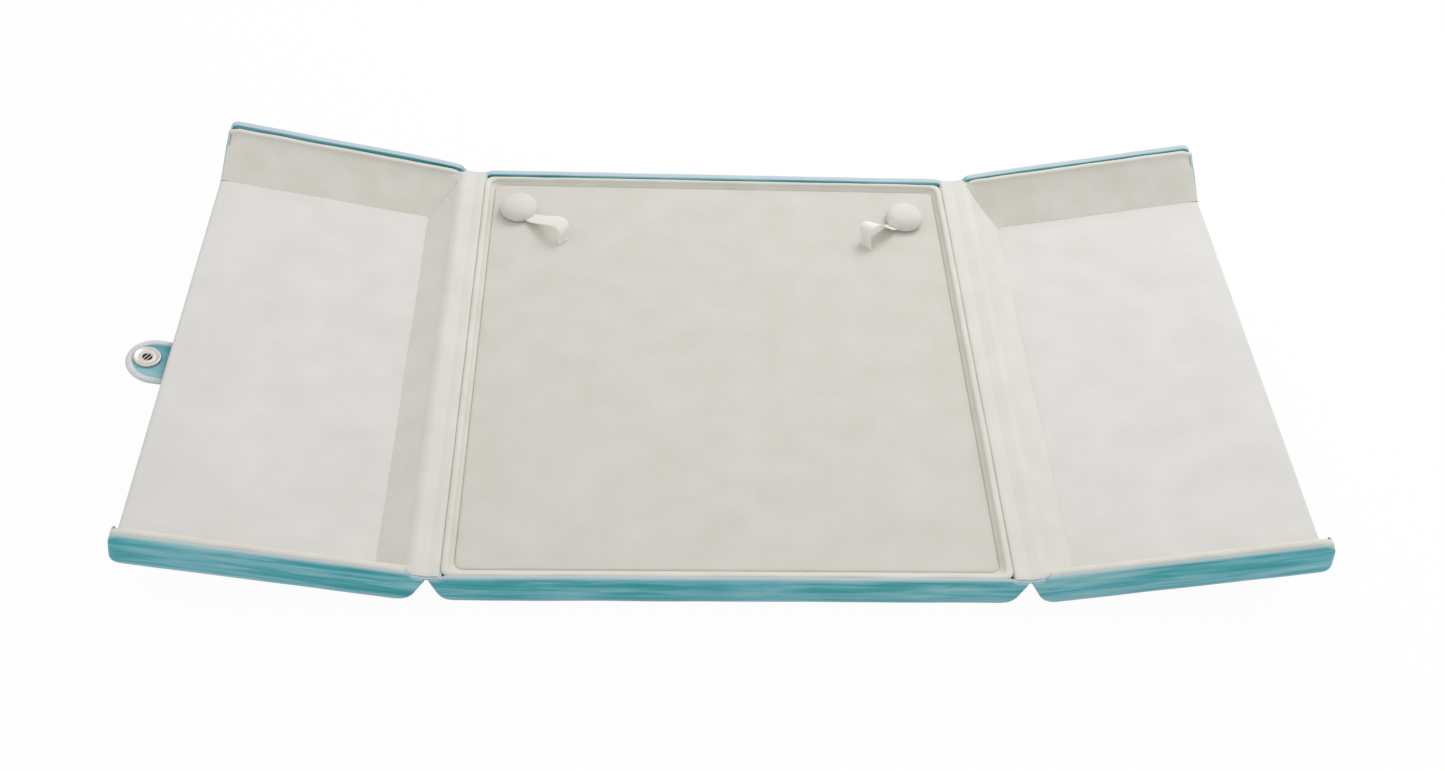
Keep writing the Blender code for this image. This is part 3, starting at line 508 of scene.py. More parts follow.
# Velvet covers
def loop(low, high, near, far, corner, x_stations, y_stations):
    """Points round a rectangle with rounded corners, from its front left corner."""
    corner = max(corner, least_radius)
    steps = 5

    def held(stations, start, end):
        gap = 0.05 * mm
        count = len(stations)
        return [min(max(station, start + (number + 1) * gap), end - (count - number) * gap)
                for number, station in enumerate(stations)]

    xs = held(x_stations, low + corner, high - corner)
    ys = held(y_stations, near + corner, far - corner)
    centres = ((low + corner, near + corner), (high - corner, near + corner),
               (high - corner, far - corner), (low + corner, far - corner))
    runs = ([(x, near) for x in xs], [(high, y) for y in ys],
            [(x, far) for x in reversed(xs)], [(low, y) for y in reversed(ys)])
    points = []
    for number, (centre_x, centre_y) in enumerate(centres):
        for step in range(steps + 1):
            angle = pi + pi / 2 * (number + step / steps)
            points.append((centre_x + corner * cos(angle), centre_y + corner * sin(angle)))
        points += runs[number]
    return points


def lean(depth):
    """How far in a hinge wall leans at a depth under its top."""
    return tan(hinge_wall_lean) * max(depth, 0.0)


def tray_cover(low, high, floor, rim, wall_tops, radii, end_inset, x_stations, y_stations, fall):
    """The velvet skin of a tray: round the outside, over the rim and down inside."""
    low_top, high_top = wall_tops
    low_radius, high_radius = radii

    def row(inset, level, front=None, back=None, end=None):
        height = level - floor - inset
        start = low + inset + lean(low_top - level)
        start += arc_inset(max(low_radius - inset, least_radius), height)
        stop = high - (inset if end is None else end) - lean(high_top - level)
        stop -= arc_inset(max(high_radius - inset, least_radius), height)
        side = half_depth - arc_inset(max(side_edge_radius - inset, least_radius), height)
        near = (inset if front is None else front) - side
        far = side - (inset if back is None else back)
        growth = low_corner_growth * (1 - smooth_share(height / low_corner_height))
        corner = wall_corner_radius + growth - inset
        points = loop(start, stop, near, far, corner, x_stations, y_stations)
        return [(x, y, level) for x, y in points]

    def rising(inset):
        radius = side_edge_radius - inset
        levels = [radius * (1 - cos(pi / 2 * step / 8)) for step in range(9)]
        return [row(inset, floor + inset + level) for level in levels]

    top = rim + rim_rise
    inner_roll = 0.45 * mm
    rows = rising(0.0)
    for step in range(5):
        angle = pi / 2 * step / 4
        rows.append(row(rim_roll * (1 - cos(angle)), top - rim_roll * (1 - sin(angle))))
    for step in range(4):
        angle = pi / 2 * step / 3
        out = inner_roll * (1 - sin(angle))
        rows.append(row(hinge_rim_width - out, top - inner_roll * (1 - cos(angle)),
                        front_rim_width - out, back_rim_width - out, end_inset))
    under = rim - rim_turn_depth
    rows.append(row(hinge_rim_width, under, front_rim_width, back_rim_width, end_inset))
    foot = under - 0.1 * mm
    rows.append(row(0.9 * mm, foot, front_rim_width - 0.6 * mm, back_rim_width - 0.6 * mm, end_inset))
    rows.append(row(velvet_thickness, foot))
    rows += reversed(rising(velvet_thickness))
    start = (rim + floor) / 2

    def settled(x, y, z):
        share = min(max((z - start) / (rim - start), 0.0), 1.0)
        shift = unevenness((x, y, z), velvet_waves)
        return x + shift.x, y + shift.y, z - share * fall(x) + shift.z * share

    return [[settled(*point) for point in line] for line in rows]


def hinge_fall(distance, fall):
    """How far a rim is let down near the hinge line."""
    return fall * (1 - smooth_share((distance - hinge_flat) / hinge_rise))


def base_fall(x):
    return hinge_fall(half_span - abs(x), base_rim - hinge_z + hinge_rim_depth)


def door_fall(x):
    end_fall = arc_inset(door_end_rim_radius, door_length - x)
    return hinge_fall(x, hinge_rim_depth + door_rim) + end_fall


rise_stations = spread(hinge_flat, hinge_flat + hinge_rise, 0.5 * mm)


def make_base_cover():
    stations = [x - half_span for x in rise_stations]
    stations += spread(-86 * mm, 86 * mm, 6 * mm)
    stations += [half_span - x for x in reversed(rise_stations)]
    edge = half_span - hinge_wall_gap
    wall_top = hinge_z - hinge_wall_depth
    rows = tray_cover(-edge, edge, 0.0, base_rim, (wall_top, wall_top),
                      (base_hinge_edge_radius, base_hinge_edge_radius), None, stations,
                      spread(-half_depth, half_depth, 6 * mm)[1:-1], base_fall)
    cover = piece("base_velvet", skin(rows, caps=True), velvet_base)
    dress(cover, "base", "velvet", "base_cover")


def slope_share(inset, y_sign):
    """How far down a side wall's slope an inset lies."""
    return (inset - slope_top[0]) / (floor_insets[y_sign] - slope_top[0])


def side_slope_level(inset, y_sign):
    """The height of a side wall's slope at an inset."""
    return between(slope_top[1], floor_top, min(max(slope_share(inset, y_sign), 0.0), 1.0))


def under_end_opening(x, y, height):
    """Keeps the free end's velvet wall under what is open between the side walls."""
    inset = half_depth - abs(y)
    if x < door_length - 1.8 * mm or inset < slope_top[0] - 0.3 * mm:
        return height
    y_sign = -1 if y < 0 else 1
    depth = 0.6 * mm if inset < floor_insets[y_sign] else 1.7 * mm
    return min(height, side_slope_level(inset, y_sign) - depth)


def make_door_cover(side, place):
    stations = list(rise_stations) + spread(9 * mm, 88 * mm, 6 * mm)
    stations += spread(door_length - door_end_rim_radius, door_length - 0.3 * mm, 0.5 * mm)
    slope_turns = in_mm(-94.9, -94.7, -93.5, -92.4, -92.0, 81.4, 81.9, 86.0, 90.5, 94.7, 94.9)
    y_stations = sorted(spread(-96 * mm, 96 * mm, 6 * mm) + list(slope_turns))
    rows = tray_cover(hinge_wall_gap, door_length, -door_height, door_rim,
                      (-hinge_wall_depth, -door_height),
                      (door_hinge_edge_radius, door_end_edge_radius), door_end_turnover, stations,
                      y_stations, door_fall)
    placed = []
    for row in rows:
        line = []
        for x, y, z in row:
            swell = back_rim_swell[side] * smooth_share((z + 7 * mm) / (6 * mm))
            swell *= smooth_share((y - half_depth + 5 * mm) / (2 * mm)) * smooth_share(x / (12 * mm))
            line.append(place(x, y + swell, under_end_opening(x, y, z) + swell * swell_rise_share))
        placed.append(line)
    cover = piece(side + "_door_velvet", skin(placed, caps=True), velvet_door[side])
    dress(cover, side + "_door", "velvet", side + "_door_cover")


# Cream linings
def lip_path(lip, rim, steps=8):
    """Points over a rolled lip, from its outer foot to its inner one."""
    inset, height, across, up = lip
    points = []
    for step in range(steps + 1):
        angle = pi * (1.14 - 1.28 * step / steps)
        points.append((inset + across * cos(angle), rim + height + up * sin(angle)))
    return points


def mitre_start(inset, y_sign):
    """How far from the hinge line the side slope meets the hinge slope, at an inset."""
    return between(hinge_slope_top[0], hinge_slope_foot[0], slope_share(inset, y_sign))


def door_side_lining(side, place, y_sign):
    """A side wall's lining: a rolled lip at the rim, then down the slope to the floor."""
    lip = door_front_lip if y_sign < 0 else door_back_lip
    lip_points = lip_path(lip, door_rim)
    tuck = (lip_points[0][0] - 0.15 * mm, lip_points[0][1] - 0.9 * mm)
    lip_points = [tuck] + lip_points
    top = slope_top
    if y_sign < 0:
        top = front_slope_top
        lip_points += front_ledge
    else:
        lip_points.append(((lip_points[-1][0] + top[0]) / 2, (lip_points[-1][1] + top[1]) / 2))
    path = list(lip_points)
    foot = floor_insets[y_sign]
    for share in spread(0.0, 1.0, 0.1):
        sag = 0.18 * mm * sin(pi * share)
        path.append((between(top[0], foot, share) - sag, between(top[1], floor_top, share) - sag))
    end = door_length + (0.1 * mm if y_sign > 0 else -0.4 * mm)
    hem = 1.1 * mm
    shares = spread(0.0, 1.0, 1 / 30)
    columns = []
    for number, (inset, height) in enumerate(path):
        on_lip = number < len(lip_points)
        start = door_lip_start
        if not on_lip:
            start = max(mitre_start(inset, y_sign) - 0.1 * mm, door_lip_start - 1.0 * mm)
        rim_share = 1 - smooth_share((inset - slope_top[0]) / (5 * mm))
        column = []
        for share in shares:
            distance = between(start, end - hem, share)
            level = height
            shift = 0.0
            if on_lip:
                wave = noise.noise(Vector((distance / (10 * mm), y_sign * 3.0, 3.7 + turns[side])))
                level += 0.18 * mm * wave
                shift = 0.15 * mm * noise.noise(Vector((distance / (12 * mm), y_sign * 5.0, 9.1)))
                # The lip's inner end is turned down and folded under
                bend = 1 - smooth_share((distance - door_lip_start) / (2.0 * mm))
                level = between(level, min(level, -1.3 * mm), bend)
                shift -= 0.5 * mm * bend
            fall = arc_inset(door_end_rim_radius, door_length - distance)
            level -= fall * rim_share
            column.append((distance, inset + shift, level))
        # The hem rolls over the free end
        last_fall = arc_inset(door_end_rim_radius, hem) * rim_share
        for step in range(1, 6):
            angle = pi / 2 * step / 5
            tucked = 0.5 * mm if step == 5 else 0.0
            level = height - last_fall - hem * (1 - cos(angle)) * 0.9 - tucked
            column.append((end - hem * (1 - sin(angle)), inset, level))
        columns.append(column)
    rows = [[place(d, y_sign * (half_depth - inset), level) for d, inset, level in line]
            for line in zip(*columns)]
    wall = side + "_door_" + ("front" if y_sign < 0 else "back")
    made = piece(wall + "_lining_cloth", cloth_sheet(rows, side_lining_thickness), lining, cloth_fold)
    dress(made, side + "_door", "cream_lining", wall + "_lining")
    declare_sheet(rows)


def over_hinge(made, side, slot, *nodes):
    """Bakes a hinge cloth's placing into its mesh, in the place of the model's own leaves."""
    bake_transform(made)
    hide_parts(*nodes)


def across_hinge(side, distance, y, height):
    """Places a point of a hinge's cloth, level before the hinge line and tilted past it."""
    if distance < 0:
        return Vector((turns[side] * (half_span + distance), y, hinge_z + height))
    return in_door(side)(distance, y, height)


def hinge_strip(side):
    """The cream cloth from the base's lip over the hinge line and down the door's slope."""
    profile = [(-5, -2.4), (-4.75, -1.7), (-4.5, -1.25), (-4.1, -1.05), (-3.4, -0.98), (-2.6, -1.0),
               (-1.8, -1.03), (-1.2, -1.07), (-0.7, -1.12), (-0.3, -1.16), (0.0, -1.18), (0.3, -1.16),
               (0.7, -1.12), (1.2, -1.08), (1.7, -1.08), (2.1, -1.12), (2.5, -1.09), (3.1, -1.05),
               (3.8, -1.1), (4.5, -1.3), (5.2, -1.72), (5.9, -2.4), (6.6, -3.2)]
    path = []
    for across, height in profile:
        path.append((across * mm * (strip_reach[side] if across < 0 else 1.0), height * mm))
    for share in spread(0.2, 1.0, 0.1):
        sag = 0.25 * mm * sin(pi * share)
        path.append((between(hinge_slope_top[0], hinge_slope_foot[0] + 0.1 * mm, share) - sag,
                     between(hinge_slope_top[1], hinge_slope_foot[1], share) - sag * 0.5))
    offsets = in_mm(0, 0.5, 1.2, 2, 2.9, 3.7, 4.6, 6, 8.5, 12, 16, 21, 27, 34, 42, 51, 61, 72)

    def edge_inset(distance, y_sign):
        """Where the strip ends: near the wall's face, and on the slope where the slopes meet."""
        run = (hinge_slope_foot[0] - hinge_slope_top[0]) / (floor_insets[y_sign] - slope_top[0])
        on_slope = slope_top[0] + (distance - hinge_slope_top[0]) / run - 0.25 * mm
        return between(strip_inset, on_slope, smooth_share((distance - 6.0 * mm) / (1.6 * mm)))

    rows = []
    for distance, height in path:
        halves = []
        for y_sign in (-1, 1):
            inset = edge_inset(distance, y_sign)
            half = []
            for offset in offsets:
                here = min(inset + offset, half_depth)
                level = height
                if distance > hinge_slope_top[0] - 1.2 * mm:
                    ledge = 1 - smooth_share((here - slope_top[0] + 0.8 * mm) / (1.0 * mm))
                    level = between(height, max(height, -1.35 * mm), ledge)
                # The cloth's cut edge is turned down a little
                level -= 0.35 * mm * (1 - smooth_share(offset / (0.9 * mm)))
                half.append((y_sign * (half_depth - here), level))
            halves.append(half)
        row = []
        for y, level in halves[0] + halves[1][::-1]:
            crease = 0.15 * mm * noise.noise(Vector((y / (35 * mm), 2.0, 7.0)))
            shift = unevenness((distance + crease, y, 0.02), strip_waves)
            row.append(across_hinge(side, distance, y, level + shift.z))
        rows.append(row)
    made = piece(side + "_hinge_strip", cloth_sheet(rows, lining_thickness), strip_cloth, cloth_fold)
    over_hinge(made, side, "cream_lining", side + "_hinge_lining_base_leaf",
               side + "_door_hinge_lining")
    declare_sheet(rows)


def hinge_web(side):
    """The velvet that joins base and door under the cream strip."""
    rows = []
    for across in spread(-hinge_flat - 1.0 * mm, hinge_flat + 1.0 * mm, 0.5 * mm):
        height = -1.75 * mm - 0.15 * mm * (1 - min(across / hinge_flat, 1.0) ** 2)
        reach = half_depth - 0.7 * mm
        rows.append([across_hinge(side, across, y * reach, height) for y in spread(-1.0, 1.0, 0.05)])
    made = piece(side + "_hinge_web", cloth_sheet(rows, 0.5 * mm), velvet_base, cloth_fold)
    over_hinge(made, side, "velvet", side + "_hinge_cloth_base_leaf",
               side + "_hinge_cloth_door_leaf")


def make_base_lip():
    """The rolled lip round the insert, its cloth glued down inside the walls."""
    def outline(lip, pad_inset):
        over = lip_path(lip, base_rim)
        first, last = over[0], over[-1]
        crease = pad_edge - 0.45 * mm
        foot = 9.0 * mm
        inner = [(between(last[0], pad_inset, 0.35), between(last[1], crease, 0.45)),
                 (between(last[0], pad_inset, 0.75), between(last[1], crease, 0.85)),
                 (pad_inset + 0.10 * mm, crease), (pad_inset - 0.05 * mm, foot)]
        outer = [(first[0] + 0.3 * mm, foot), (first[0] + 0.05 * mm, first[1] - 1.0 * mm)]
        return outer + over + inner

    fronts = outline(base_front_lip, half_depth - pad_half_y)
    backs = outline(base_back_lip, half_depth - pad_half_y)
    lefts = outline(base_left_lip, half_span - pad_half_x - pad_left_reach)
    rights = outline(base_right_lip, half_span - pad_half_x)
    rows = []
    for number, (front, back, left, right) in enumerate(zip(fronts, backs, lefts, rights)):
        near, far = front[0] - half_depth, half_depth - back[0]
        uneven = 2 < number < len(fronts) - 3
        row = []
        for x, y in loop(left[0] - half_span, half_span - right[0], near, far, base_lip_corner,
                         spread(-84 * mm, 84 * mm, 4 * mm), spread(-90 * mm, 90 * mm, 4 * mm)):
            side = left if x < 0 else right
            to_front = 1 - smooth_share((y - near) / (9 * mm))
            to_back = 1 - smooth_share((far - y) / (9 * mm))
            level = side[1] + to_front * (front[1] - side[1]) + to_back * (back[1] - side[1])
            shift = unevenness((x, y, 0.5), lip_waves) * uneven
            row.append((x + shift.x, y + shift.y, level + shift.z))
        rows.append(row)
    lip = piece("base_lip", skin(rows, ring=True), lining, cloth_fold)
    dress(lip, "base", "cream_lining", "base_rim_lining")


# Padded pieces
def pad_mesh(low, high, near, far, corner, edge_round, foot, crown, crown_run, place, spacing):
    """A closed pad: a top of quads that fits its rounded corners, its sides and its bottom."""
    def ticks(start, end):
        edge = [share * edge_round for share in (0.0, 0.25, 0.55, 1.0, 1.6, 2.4)]
        inner = spread(start + edge_round * 3, end - edge_round * 3, spacing)
        return [start + e for e in edge] + inner + [end - e for e in reversed(edge)]

    xs = ticks(low, high)
    ys = ticks(near, far)
    centre, middle = (low + high) / 2, (near + far) / 2
    half, side = (high - low) / 2, (far - near) / 2

    def fitted(x, y):
        """A point of the square grid moved in to the rounded corner, at its height."""
        over_x = abs(x - centre) - (half - corner)
        over_y = abs(y - middle) - (side - corner)
        if over_x > 0 and over_y > 0:
            a, b = over_x / corner, over_y / corner
            over_x = corner * a * sqrt(1 - b * b / 2)
            over_y = corner * b * sqrt(1 - a * a / 2)
            x = centre + (half - corner + over_x) * (1 if x > centre else -1)
            y = middle + (side - corner + over_y) * (1 if y > middle else -1)
            inset = corner - hypot(over_x, over_y)
        else:
            inset = min(-over_x, -over_y) + corner
        return x, y, level(inset)

    def level(inset):
        share = min(max(inset - edge_round, 0.0) / crown_run, 1.0)
        top = crown * (1 - (1 - share) ** 2)
        return top - arc_inset(edge_round, max(inset, 0.0))

    made = bmesh.new()
    grid = [[made.verts.new(fitted(x, y)) for y in ys] for x in xs]
    for first, second in zip(grid, grid[1:]):
        for here in range(len(ys) - 1):
            made.faces.new((first[here], second[here], second[here + 1], first[here + 1]))
    border = [line[0] for line in grid] + grid[-1][1:]
    border += [line[-1] for line in reversed(grid[:-1])] + list(reversed(grid[0][1:-1]))
    last = border
    for share in (0.5, 1.0):
        depth = -edge_round - (foot - edge_round) * share
        lower = [made.verts.new((vertex.co.x, vertex.co.y, depth)) for vertex in border]
        for corners in zip(last, last[1:] + last[:1], lower[1:] + lower[:1], lower):
            made.faces.new(corners)
        last = lower
    made.faces.new(last)
    for vertex in made.verts:
        vertex.co = place(*vertex.co)
    return made


def puff(pad, free, most, pressure=4.0):
    """The cloth pass: air pressure swells the pad's top between its held edges."""
    held = pad.vertex_groups.new(name="held")
    for vertex in pad.data.vertices:
        held.add([vertex.index], 1.0 - free(vertex.co), "REPLACE")
    before = [vertex.co.copy() for vertex in pad.data.vertices]
    cloth = pad.modifiers.new("cloth", "CLOTH")
    cloth.settings.use_pressure = True
    cloth.settings.uniform_pressure_force = pressure
    cloth.settings.effector_weights.gravity = 0.0
    cloth.settings.vertex_group_mass = "held"
    cloth.settings.tension_stiffness = 40.0
    cloth.settings.bending_stiffness = 5.0
    for step in range(1, 21):
        bpy.context.scene.frame_set(step)
    settle(pad)
    bpy.context.scene.frame_set(1)
    for vertex, old in zip(pad.data.vertices, before):
        move = vertex.co - old
        limit = most * free(old)
        if move.length > limit:
            vertex.co = old + move * limit / move.length
    pad.vertex_groups.clear()


def on_pad(pad, x, y):
    """The point of the pad's cloth over a place."""
    return pad.ray_cast(Vector((x, y, 0.1)), -overhead)[1]


def make_insert():
    """The display insert, swollen by its foam, and drawn in a little at each strap's slit."""
    def place(x, y, z):
        return Vector((x, y, pad_edge + z))

    mesh_data = pad_mesh(-pad_half_x - pad_left_reach, pad_half_x, -pad_half_y, pad_half_y,
                         pad_corner_radius, pad_edge_round, pad_edge - pad_foot, pad_crown,
                         pad_crown_run, place, 5 * mm)
    pad = piece("insert_pad", mesh_data, pad_suede)
    puff(pad, lambda co: smooth_share((co.z - pad_edge) / (0.5 * mm)), 0.15 * mm)
    subdivided(pad)
    for side in ("left", "right"):
        slit = strap_places[side][1]
        for vertex in pad.data.vertices:
            away = hypot(vertex.co.x - slit[0], vertex.co.y - slit[1])
            if vertex.co.z > pad_edge - 2 * mm:
                vertex.co.z -= slit_dimple * (1 - smooth_share(away / slit_dimple_reach))
    for side in ("left", "right"):
        make_slit(side, pad)
    dress(pad, "base", "cream_pad", "pad_cover")


def strap_line(side):
    """Where a strap's button and slit are, and the directions along and across it."""
    button, slit = [Vector(spot).to_3d() for spot in strap_places[side]]
    heading = (button - slit).normalized()
    return button, slit, heading, overhead.cross(heading)


def make_slit(side, pad):
    """The slit in the insert's cloth: its two cut edges, rolled in, and a darkened foam sheet between,
    painted shade.
    """
    slit, heading, across = strap_line(side)[1:]
    edges = []
    for sign in (-1, 1):
        path = []
        for share in spread(-1.0, 1.0, 0.1):
            open_by = slit_opening * (1 - share * share) * sign
            spot = slit + across * share * slit_length / 2 + heading * open_by
            path.append(on_pad(pad, spot.x, spot.y) + overhead * 0.03 * mm)
        edges.append(path)
        name = side + ("_slit_edge_near_button" if sign > 0 else "_slit_edge_far")
        lip = piece(name, tube(path, slit_edge_radius, 8), pad_suede, cloth_fold)
        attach(lip, "base")
    # The flat sheet between the slit's edges, darkened as painted shade of the slit
    lens = piece(side + "_slit_opening", skin([edges[0], edges[1]], open_rows=True), slit_painted_shade)
    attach(lens, "base")


def make_door_floor(side, place):
    """A door's padded floor, its free edge rounded down over the velvet."""
    low = hinge_slope_foot[0] - 0.1 * mm
    high = door_length + 0.2 * mm
    near = floor_insets[-1] - half_depth - 0.3 * mm
    far = half_depth - floor_insets[1] + 0.3 * mm
    drop = 1.9 * mm
    floor_edge_round = 0.35 * mm

    def on_floor(x, y, z):
        rounding = arc_inset(drop, high - x) - arc_inset(floor_edge_round, high - x)
        lift = 0.12 * mm * noise.noise(Vector((x / (30 * mm), y / (30 * mm), turns[side])))
        return place(x, y, floor_top + z - max(rounding, 0.0) + lift)

    mesh_data = pad_mesh(low, high, near, far, corner=0.8 * mm, edge_round=floor_edge_round,
                         foot=1.0 * mm, crown=0.45 * mm, crown_run=14 * mm, place=on_floor,
                         spacing=4 * mm)
    bmesh.ops.bisect_plane(mesh_data, geom=mesh_data.verts[:] + mesh_data.edges[:] + mesh_data.faces[:],
                           plane_co=place(high - drop, 0.0, 0.0),
                           plane_no=place(1.0, 0.0, 0.0) - place(0.0, 0.0, 0.0))
    floor = piece(side + "_door_floor_cushion", mesh_data, floor_suede)
    subdivided(floor)
    dress(floor, side + "_door", "cream_pad", side + "_door_floor_pad")


# Straps
button_foot = {"left": 14.11 * mm, "right": 14.26 * mm}
slit_top = {"left": 14.22 * mm, "right": 14.26 * mm}
strap_width = 5.5 * mm
ribbon_thickness = 0.35 * mm
ribbon_bow = 0.12 * mm
button_skirt = 2.4 * mm
button_ripple_length = 1.6 * mm
button_ripple_share = 0.012

# Each ribbon's way from its slit to the button: along, up, aside, all in mm, and its lean in degrees
ribbon_routes = {
    "left": (
        (0, 0.05, 0, 0), (0, 0.6, 0, 0), (-0.1, 1.7, -0.1, 0), (-0.3, 3, -0.3, -3),
        (-0.3, 4.4, -0.5, -6), (-0.2, 5.7, -0.7, -10), (0.8, 6.8, -0.8, -14), (2.3, 7.4, -0.9, -17),
        (4.2, 7.2, -0.8, -18), (6.4, 6.3, -0.6, -17), (8.8, 5.1, -0.4, -14), (11.4, 3.8, -0.2, -11),
        (13.9, 2.6, -0.1, -8), (16.2, 1.6, 0, -5), (18.2, 1, 0, -2), (20.2, 0.8, 0, 0),
    ),
    "right": (
        (0, 0.05, 0, 0), (0, 0.6, 0, 0), (-0.1, 1.8, 0.1, 0), (-0.3, 3.5, 0.4, 2),
        (-0.3, 5.3, 0.8, 4), (-0.4, 7, 1.2, 5), (0.3, 8.4, 1.5, 3), (1.6, 9.2, 1.6, -3),
        (3.2, 9.2, 1.4, -10), (5, 8.4, 1.1, -17), (6.8, 7, 0.8, -22), (8.7, 5.3, 0.5, -24),
        (10.7, 3.6, 0.2, -22), (12.7, 2.2, 0, -16), (14.6, 1.4, 0, -9), (16.2, 0.9, 0, -3),
        (17.5, 0.8, 0, 0),
    ),
}


def make_strap(side):
    button, slit, heading, across = strap_line(side)
    foot = slit + overhead * slit_top[side]
    rows = []
    for along, up, aside, lean_degrees in ribbon_routes[side]:
        tilt = radians(lean_degrees)
        middle = foot + heading * along * mm + across * aside * mm + overhead * up * mm
        wide = across * cos(tilt) + overhead * sin(tilt)
        row = []
        for share in (-1.0, -0.6, 0.0, 0.6, 1.0):
            bow = ribbon_bow * (1 - share * share)
            row.append(middle + wide * share * strap_width / 2 + overhead * bow)
        rows.append(row)
    strap = piece(side + "_ribbon", cloth_sheet(rows, ribbon_thickness), ribbon, cloth_fold)
    subdivided(strap)
    dress(strap, side + "_strap", "cream_ribbon", side + "_strap")
    profile = [(0.05, 0), (5.6, 0), (6.5, 0.25), (6.95, 0.8), (7.1, 1.6), (7.02, 2.5), (6.7, 3.35),
               (6.1, 4.1), (5.15, 4.75), (3.95, 5.2), (2.5, 5.5), (1.15, 5.62), (0.05, 5.64)]
    base = button + overhead * button_foot[side]
    form = turned([in_mm(*spot) for spot in profile], turn_steps, base)
    for vertex in form.verts:
        # The cloth is gathered under the button, so that its skirt is faintly rippled
        skirt = 1 - smooth_share((vertex.co.z - base.z) / button_skirt)
        out = vertex.co - base
        ripple = noise.noise(Vector((*out.xy / button_ripple_length, 4.0)))
        vertex.co += out.xy.to_3d() * button_ripple_share * ripple * skirt
    dome = piece(side + "_button_cloth", form, button_cloth, cloth_fold)
    dress(dome, side + "_strap", "cream_pad", side + "_strap_button", side + "_strap_snap_socket")


# Closing tab
tab_middle_y = -10.0 * mm
tab_half = 8.25 * mm
tab_face = -20.3 * mm
tab_reach = 12.8 * mm
tab_layer = 0.55 * mm
tab_layer_step = 0.75 * mm
ring_reach = 7.6 * mm
ring_aside = 0.7 * mm
spring_half_gap = 0.55 * mm
spring_half_length = 1.7 * mm
spring_radius = 0.17 * mm
spring_level = 0.28 * mm


def make_tab():
    place = in_door("left")
    centre = door_length + tab_reach - tab_half
    start = door_length - door_end_edge_radius + 0.3 * mm
    up = place(0.0, 0.0, 1.0) - place(0.0, 0.0, 0.0)

    def outline(inset, level):
        reach = tab_half - inset
        angles = [pi * (step / 24 - 0.5) for step in range(25)]
        end = [(centre + reach * cos(angle), reach * sin(angle)) for angle in angles]
        points = [(start, -reach)] + end + [(start, reach)]
        return [place(x, tab_middle_y + y, level) for x, y in points]

    layers = (("closure_tab_velvet_inside", "closure_tab_inner_cloth", tab_face),
              ("closure_tab_velvet_outside", "closure_tab_outer_cloth", tab_face - tab_layer_step))
    for name, node, top in layers:
        bottom = top - tab_layer
        rows = [outline(0.6 * mm, bottom), outline(0.35 * mm, bottom + 0.1 * mm),
                outline(0.35 * mm, top - 0.1 * mm), outline(0.6 * mm, top)]
        made = piece(name, skin(rows, caps=True), velvet_tab, cloth_fold)
        dress(made, "closure_tab", "velvet", node)
    # A pale cord along the tab's edge: its rounding, and a painted sheen in its grey
    edge = outline(tab_edge_roll_inset, tab_face - 0.45 * mm)
    cord = tube(edge, tab_edge_roll_radius, 12, flat=0.72, up=up, taper=0.8)
    band = piece("closure_tab_edge_roll", cord, tab_edge_painted_sheen, 70)
    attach(band, "closure_tab")
    make_tab_ring(place, up.normalized())


def make_tab_ring(place, up):
    """The snap's socket ring: a rolled rim, a dished face, a dark disc in its hole as painted shade, and
    two spring wires.
    """
    middle = place(door_length + ring_reach, tab_middle_y + ring_aside, tab_face + 0.1 * mm)
    profile = [(1.6, -0.25), (4.3, -0.25), (4.6, 0.0), (4.7, 0.35), (4.6, 0.75), (4.3, 0.98), (3.9, 0.9),
               (3.5, 0.68), (2.9, 0.55), (2.4, 0.6), (2.0, 0.72), (1.7, 0.6), (1.6, 0.3)]
    rolled = turned([in_mm(*spot) for spot in profile], turn_steps, middle, up, False)
    ring = piece("closure_tab_socket_ring", rolled, ring_steel, cloth_fold)
    dress(ring, "closure_tab", "nickel", "closure_tab_snap_socket")
    # A dark disc at the hole's bottom: painted shade of the hole
    disc = [in_mm(*spot) for spot in ((0.02, 0), (1.9, 0), (1.9, -0.2), (0.02, -0.2))]
    plate = turned(disc, 32, middle, up)
    floor = piece("closure_tab_socket_floor", plate, socket_painted_shade, cloth_fold)
    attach(floor, "closure_tab")
    along = (place(-0.55, 1.0, 0.0) - place(0.0, 0.0, 0.0)).normalized()
    aside = up.cross(along)
    for letter, shift in (("a", -spring_half_gap), ("b", spring_half_gap)):
        reach = sqrt(spring_half_length**2 - shift**2)
        path = []
        for share in spread(-1, 1, 0.25):
            path.append(middle + aside * shift + along * reach * share + up * spring_level)
        wire = tube(path, spring_radius, 8, taper=1.0)
        bar = piece("closure_tab_socket_spring_" + letter, wire, ring_steel, cloth_fold)
        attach(bar, "closure_tab")


# The cloth pass is quicker while the pad is alone, so the insert comes first
make_insert()
make_base_cover()
make_base_lip()
for side in ("left", "right"):
    door_place = in_door(side)
    make_door_cover(side, door_place)
    door_side_lining(side, door_place, -1)
    door_side_lining(side, door_place, 1)
    make_door_floor(side, door_place)
    hinge_strip(side)
    hinge_web(side)
    make_strap(side)
make_tab()

# Finishes of the model's own solids
for name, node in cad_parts.items():
    finish = greyboard
    if "filler" in name or "foam" in name:
        finish = foam
    if any(word in name for word in ("post", "washer", "stud", "snap")):
        finish = nickel
    if "anchor" in name:
        finish = ribbon
    if "tab_root" in name:
        finish = velvet_door["left"]
    node.data.materials.clear()
    node.data.materials.append(finish)


# Floor, light and camera
def seen_directly(tree):
    """One for rays that the camera sees straight, in a gloss or through a clear piece."""
    seen = add(tree, "LightPath", give="Is Camera Ray")
    for ray in ("Is Glossy Ray", "Is Transmission Ray"):
        seen = add(tree, "Math", {0: seen, 1: add(tree, "LightPath", give=ray)}, operation="MAXIMUM")
    return seen


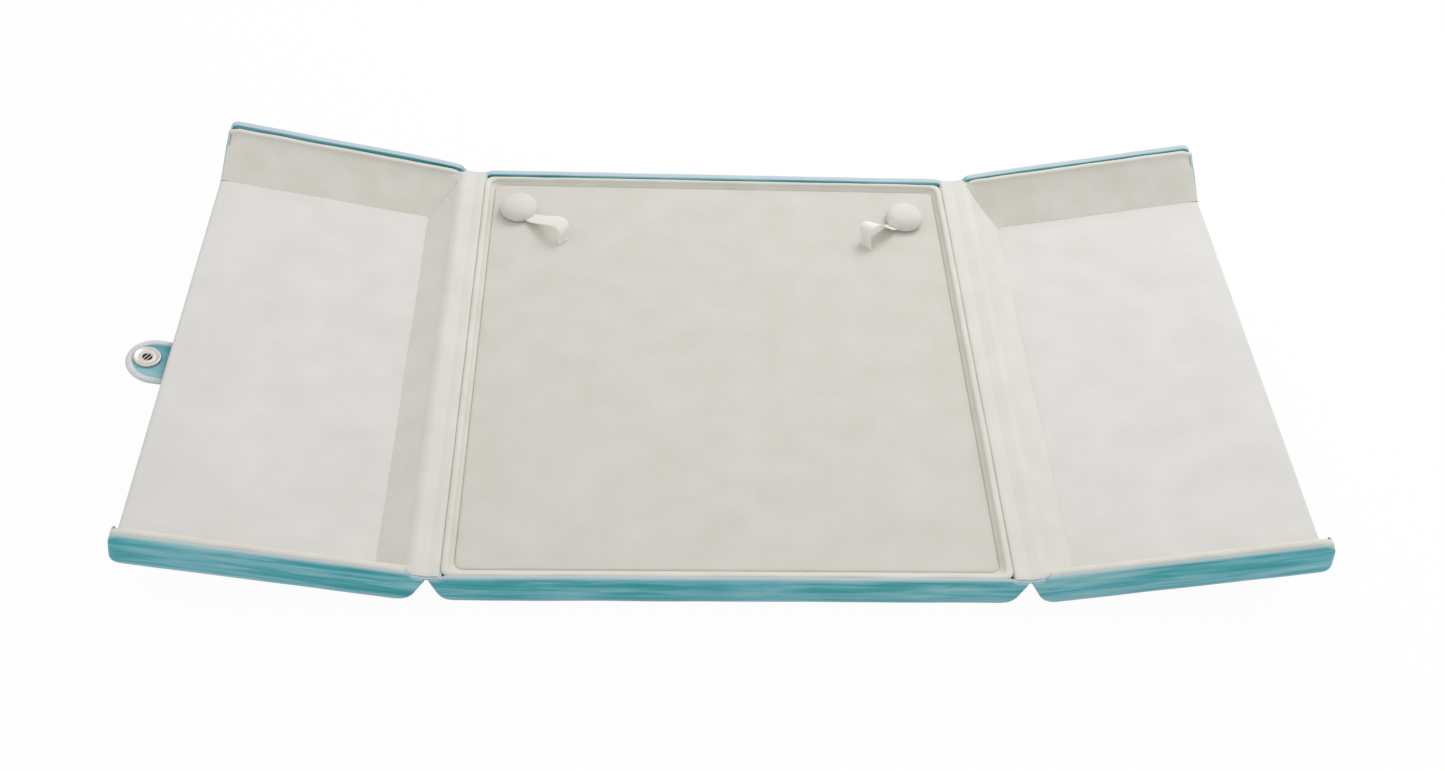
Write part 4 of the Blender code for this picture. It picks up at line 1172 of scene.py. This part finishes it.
def make_floor():
    ends = (-floor_half_side, floor_half_side)
    made = skin([[(x, y, floor_level) for x in ends] for y in ends], open_rows=True)
    paper, tree, shader = new_material("paper_sweep_white", Roughness=0.95,
                                       Base_Color=linear("#F4F4F4"))
    share = add(tree, "Math", {0: seen_directly(tree), 1: floor_white_share}, operation="MULTIPLY")
    plain = add(tree, "Emission", {"Color": white, "Strength": 1.0})
    mixed = add(tree, "MixShader", {0: share, 1: shader.outputs[0], 2: plain})
    tree.links.new(mixed, tree.nodes["Material Output"].inputs["Surface"])
    floor = piece("floor", made, paper)


def make_light():
    """A bright room, and a window behind the box at the right."""
    world = bpy.data.worlds.new("studio")
    bpy.context.scene.world = world
    world.use_nodes = True
    tree = world.node_tree
    room = tree.nodes["Background"]
    room.inputs["Color"].default_value = white
    room.inputs["Strength"].default_value = room_level
    backdrop = add(tree, "Background", {"Color": white, "Strength": 1.0})
    mixed = add(tree, "MixShader", {0: seen_directly(tree), 1: room.outputs[0], 2: backdrop})
    tree.links.new(mixed, tree.nodes["World Output"].inputs["Surface"])
    lamp = bpy.data.lights.new("window", "AREA")
    lamp.shape = "SQUARE"
    lamp.size = window_size
    lamp.energy = window_watts
    held = in_scene("window", lamp)
    held.location = window_place
    facing = Vector(window_place) - Vector(window_target)
    held.rotation_euler = facing.to_track_quat("Z", "Y").to_euler()


def make_camera():
    """The camera where the photograph was taken, from the fit of the box's corners."""
    pitch, yaw, roll = [radians(angle) for angle in camera_angles]
    data = bpy.data.cameras.new("camera")
    data.sensor_fit = "HORIZONTAL"
    data.sensor_width = 36.0
    data.lens = camera_lens
    data.clip_start = 0.01
    held = in_scene("camera", data)
    aim = Matrix.Rotation(yaw, 4, "Z") @ Matrix.Rotation(pi / 2 - pitch, 4, "X")
    held.matrix_world = Matrix.Translation(camera_place) @ aim @ Matrix.Rotation(roll, 4, "Z")
    bpy.context.scene.camera = held


make_floor()
make_light()
make_camera()
bpy.context.scene.view_settings.view_transform = "Standard"
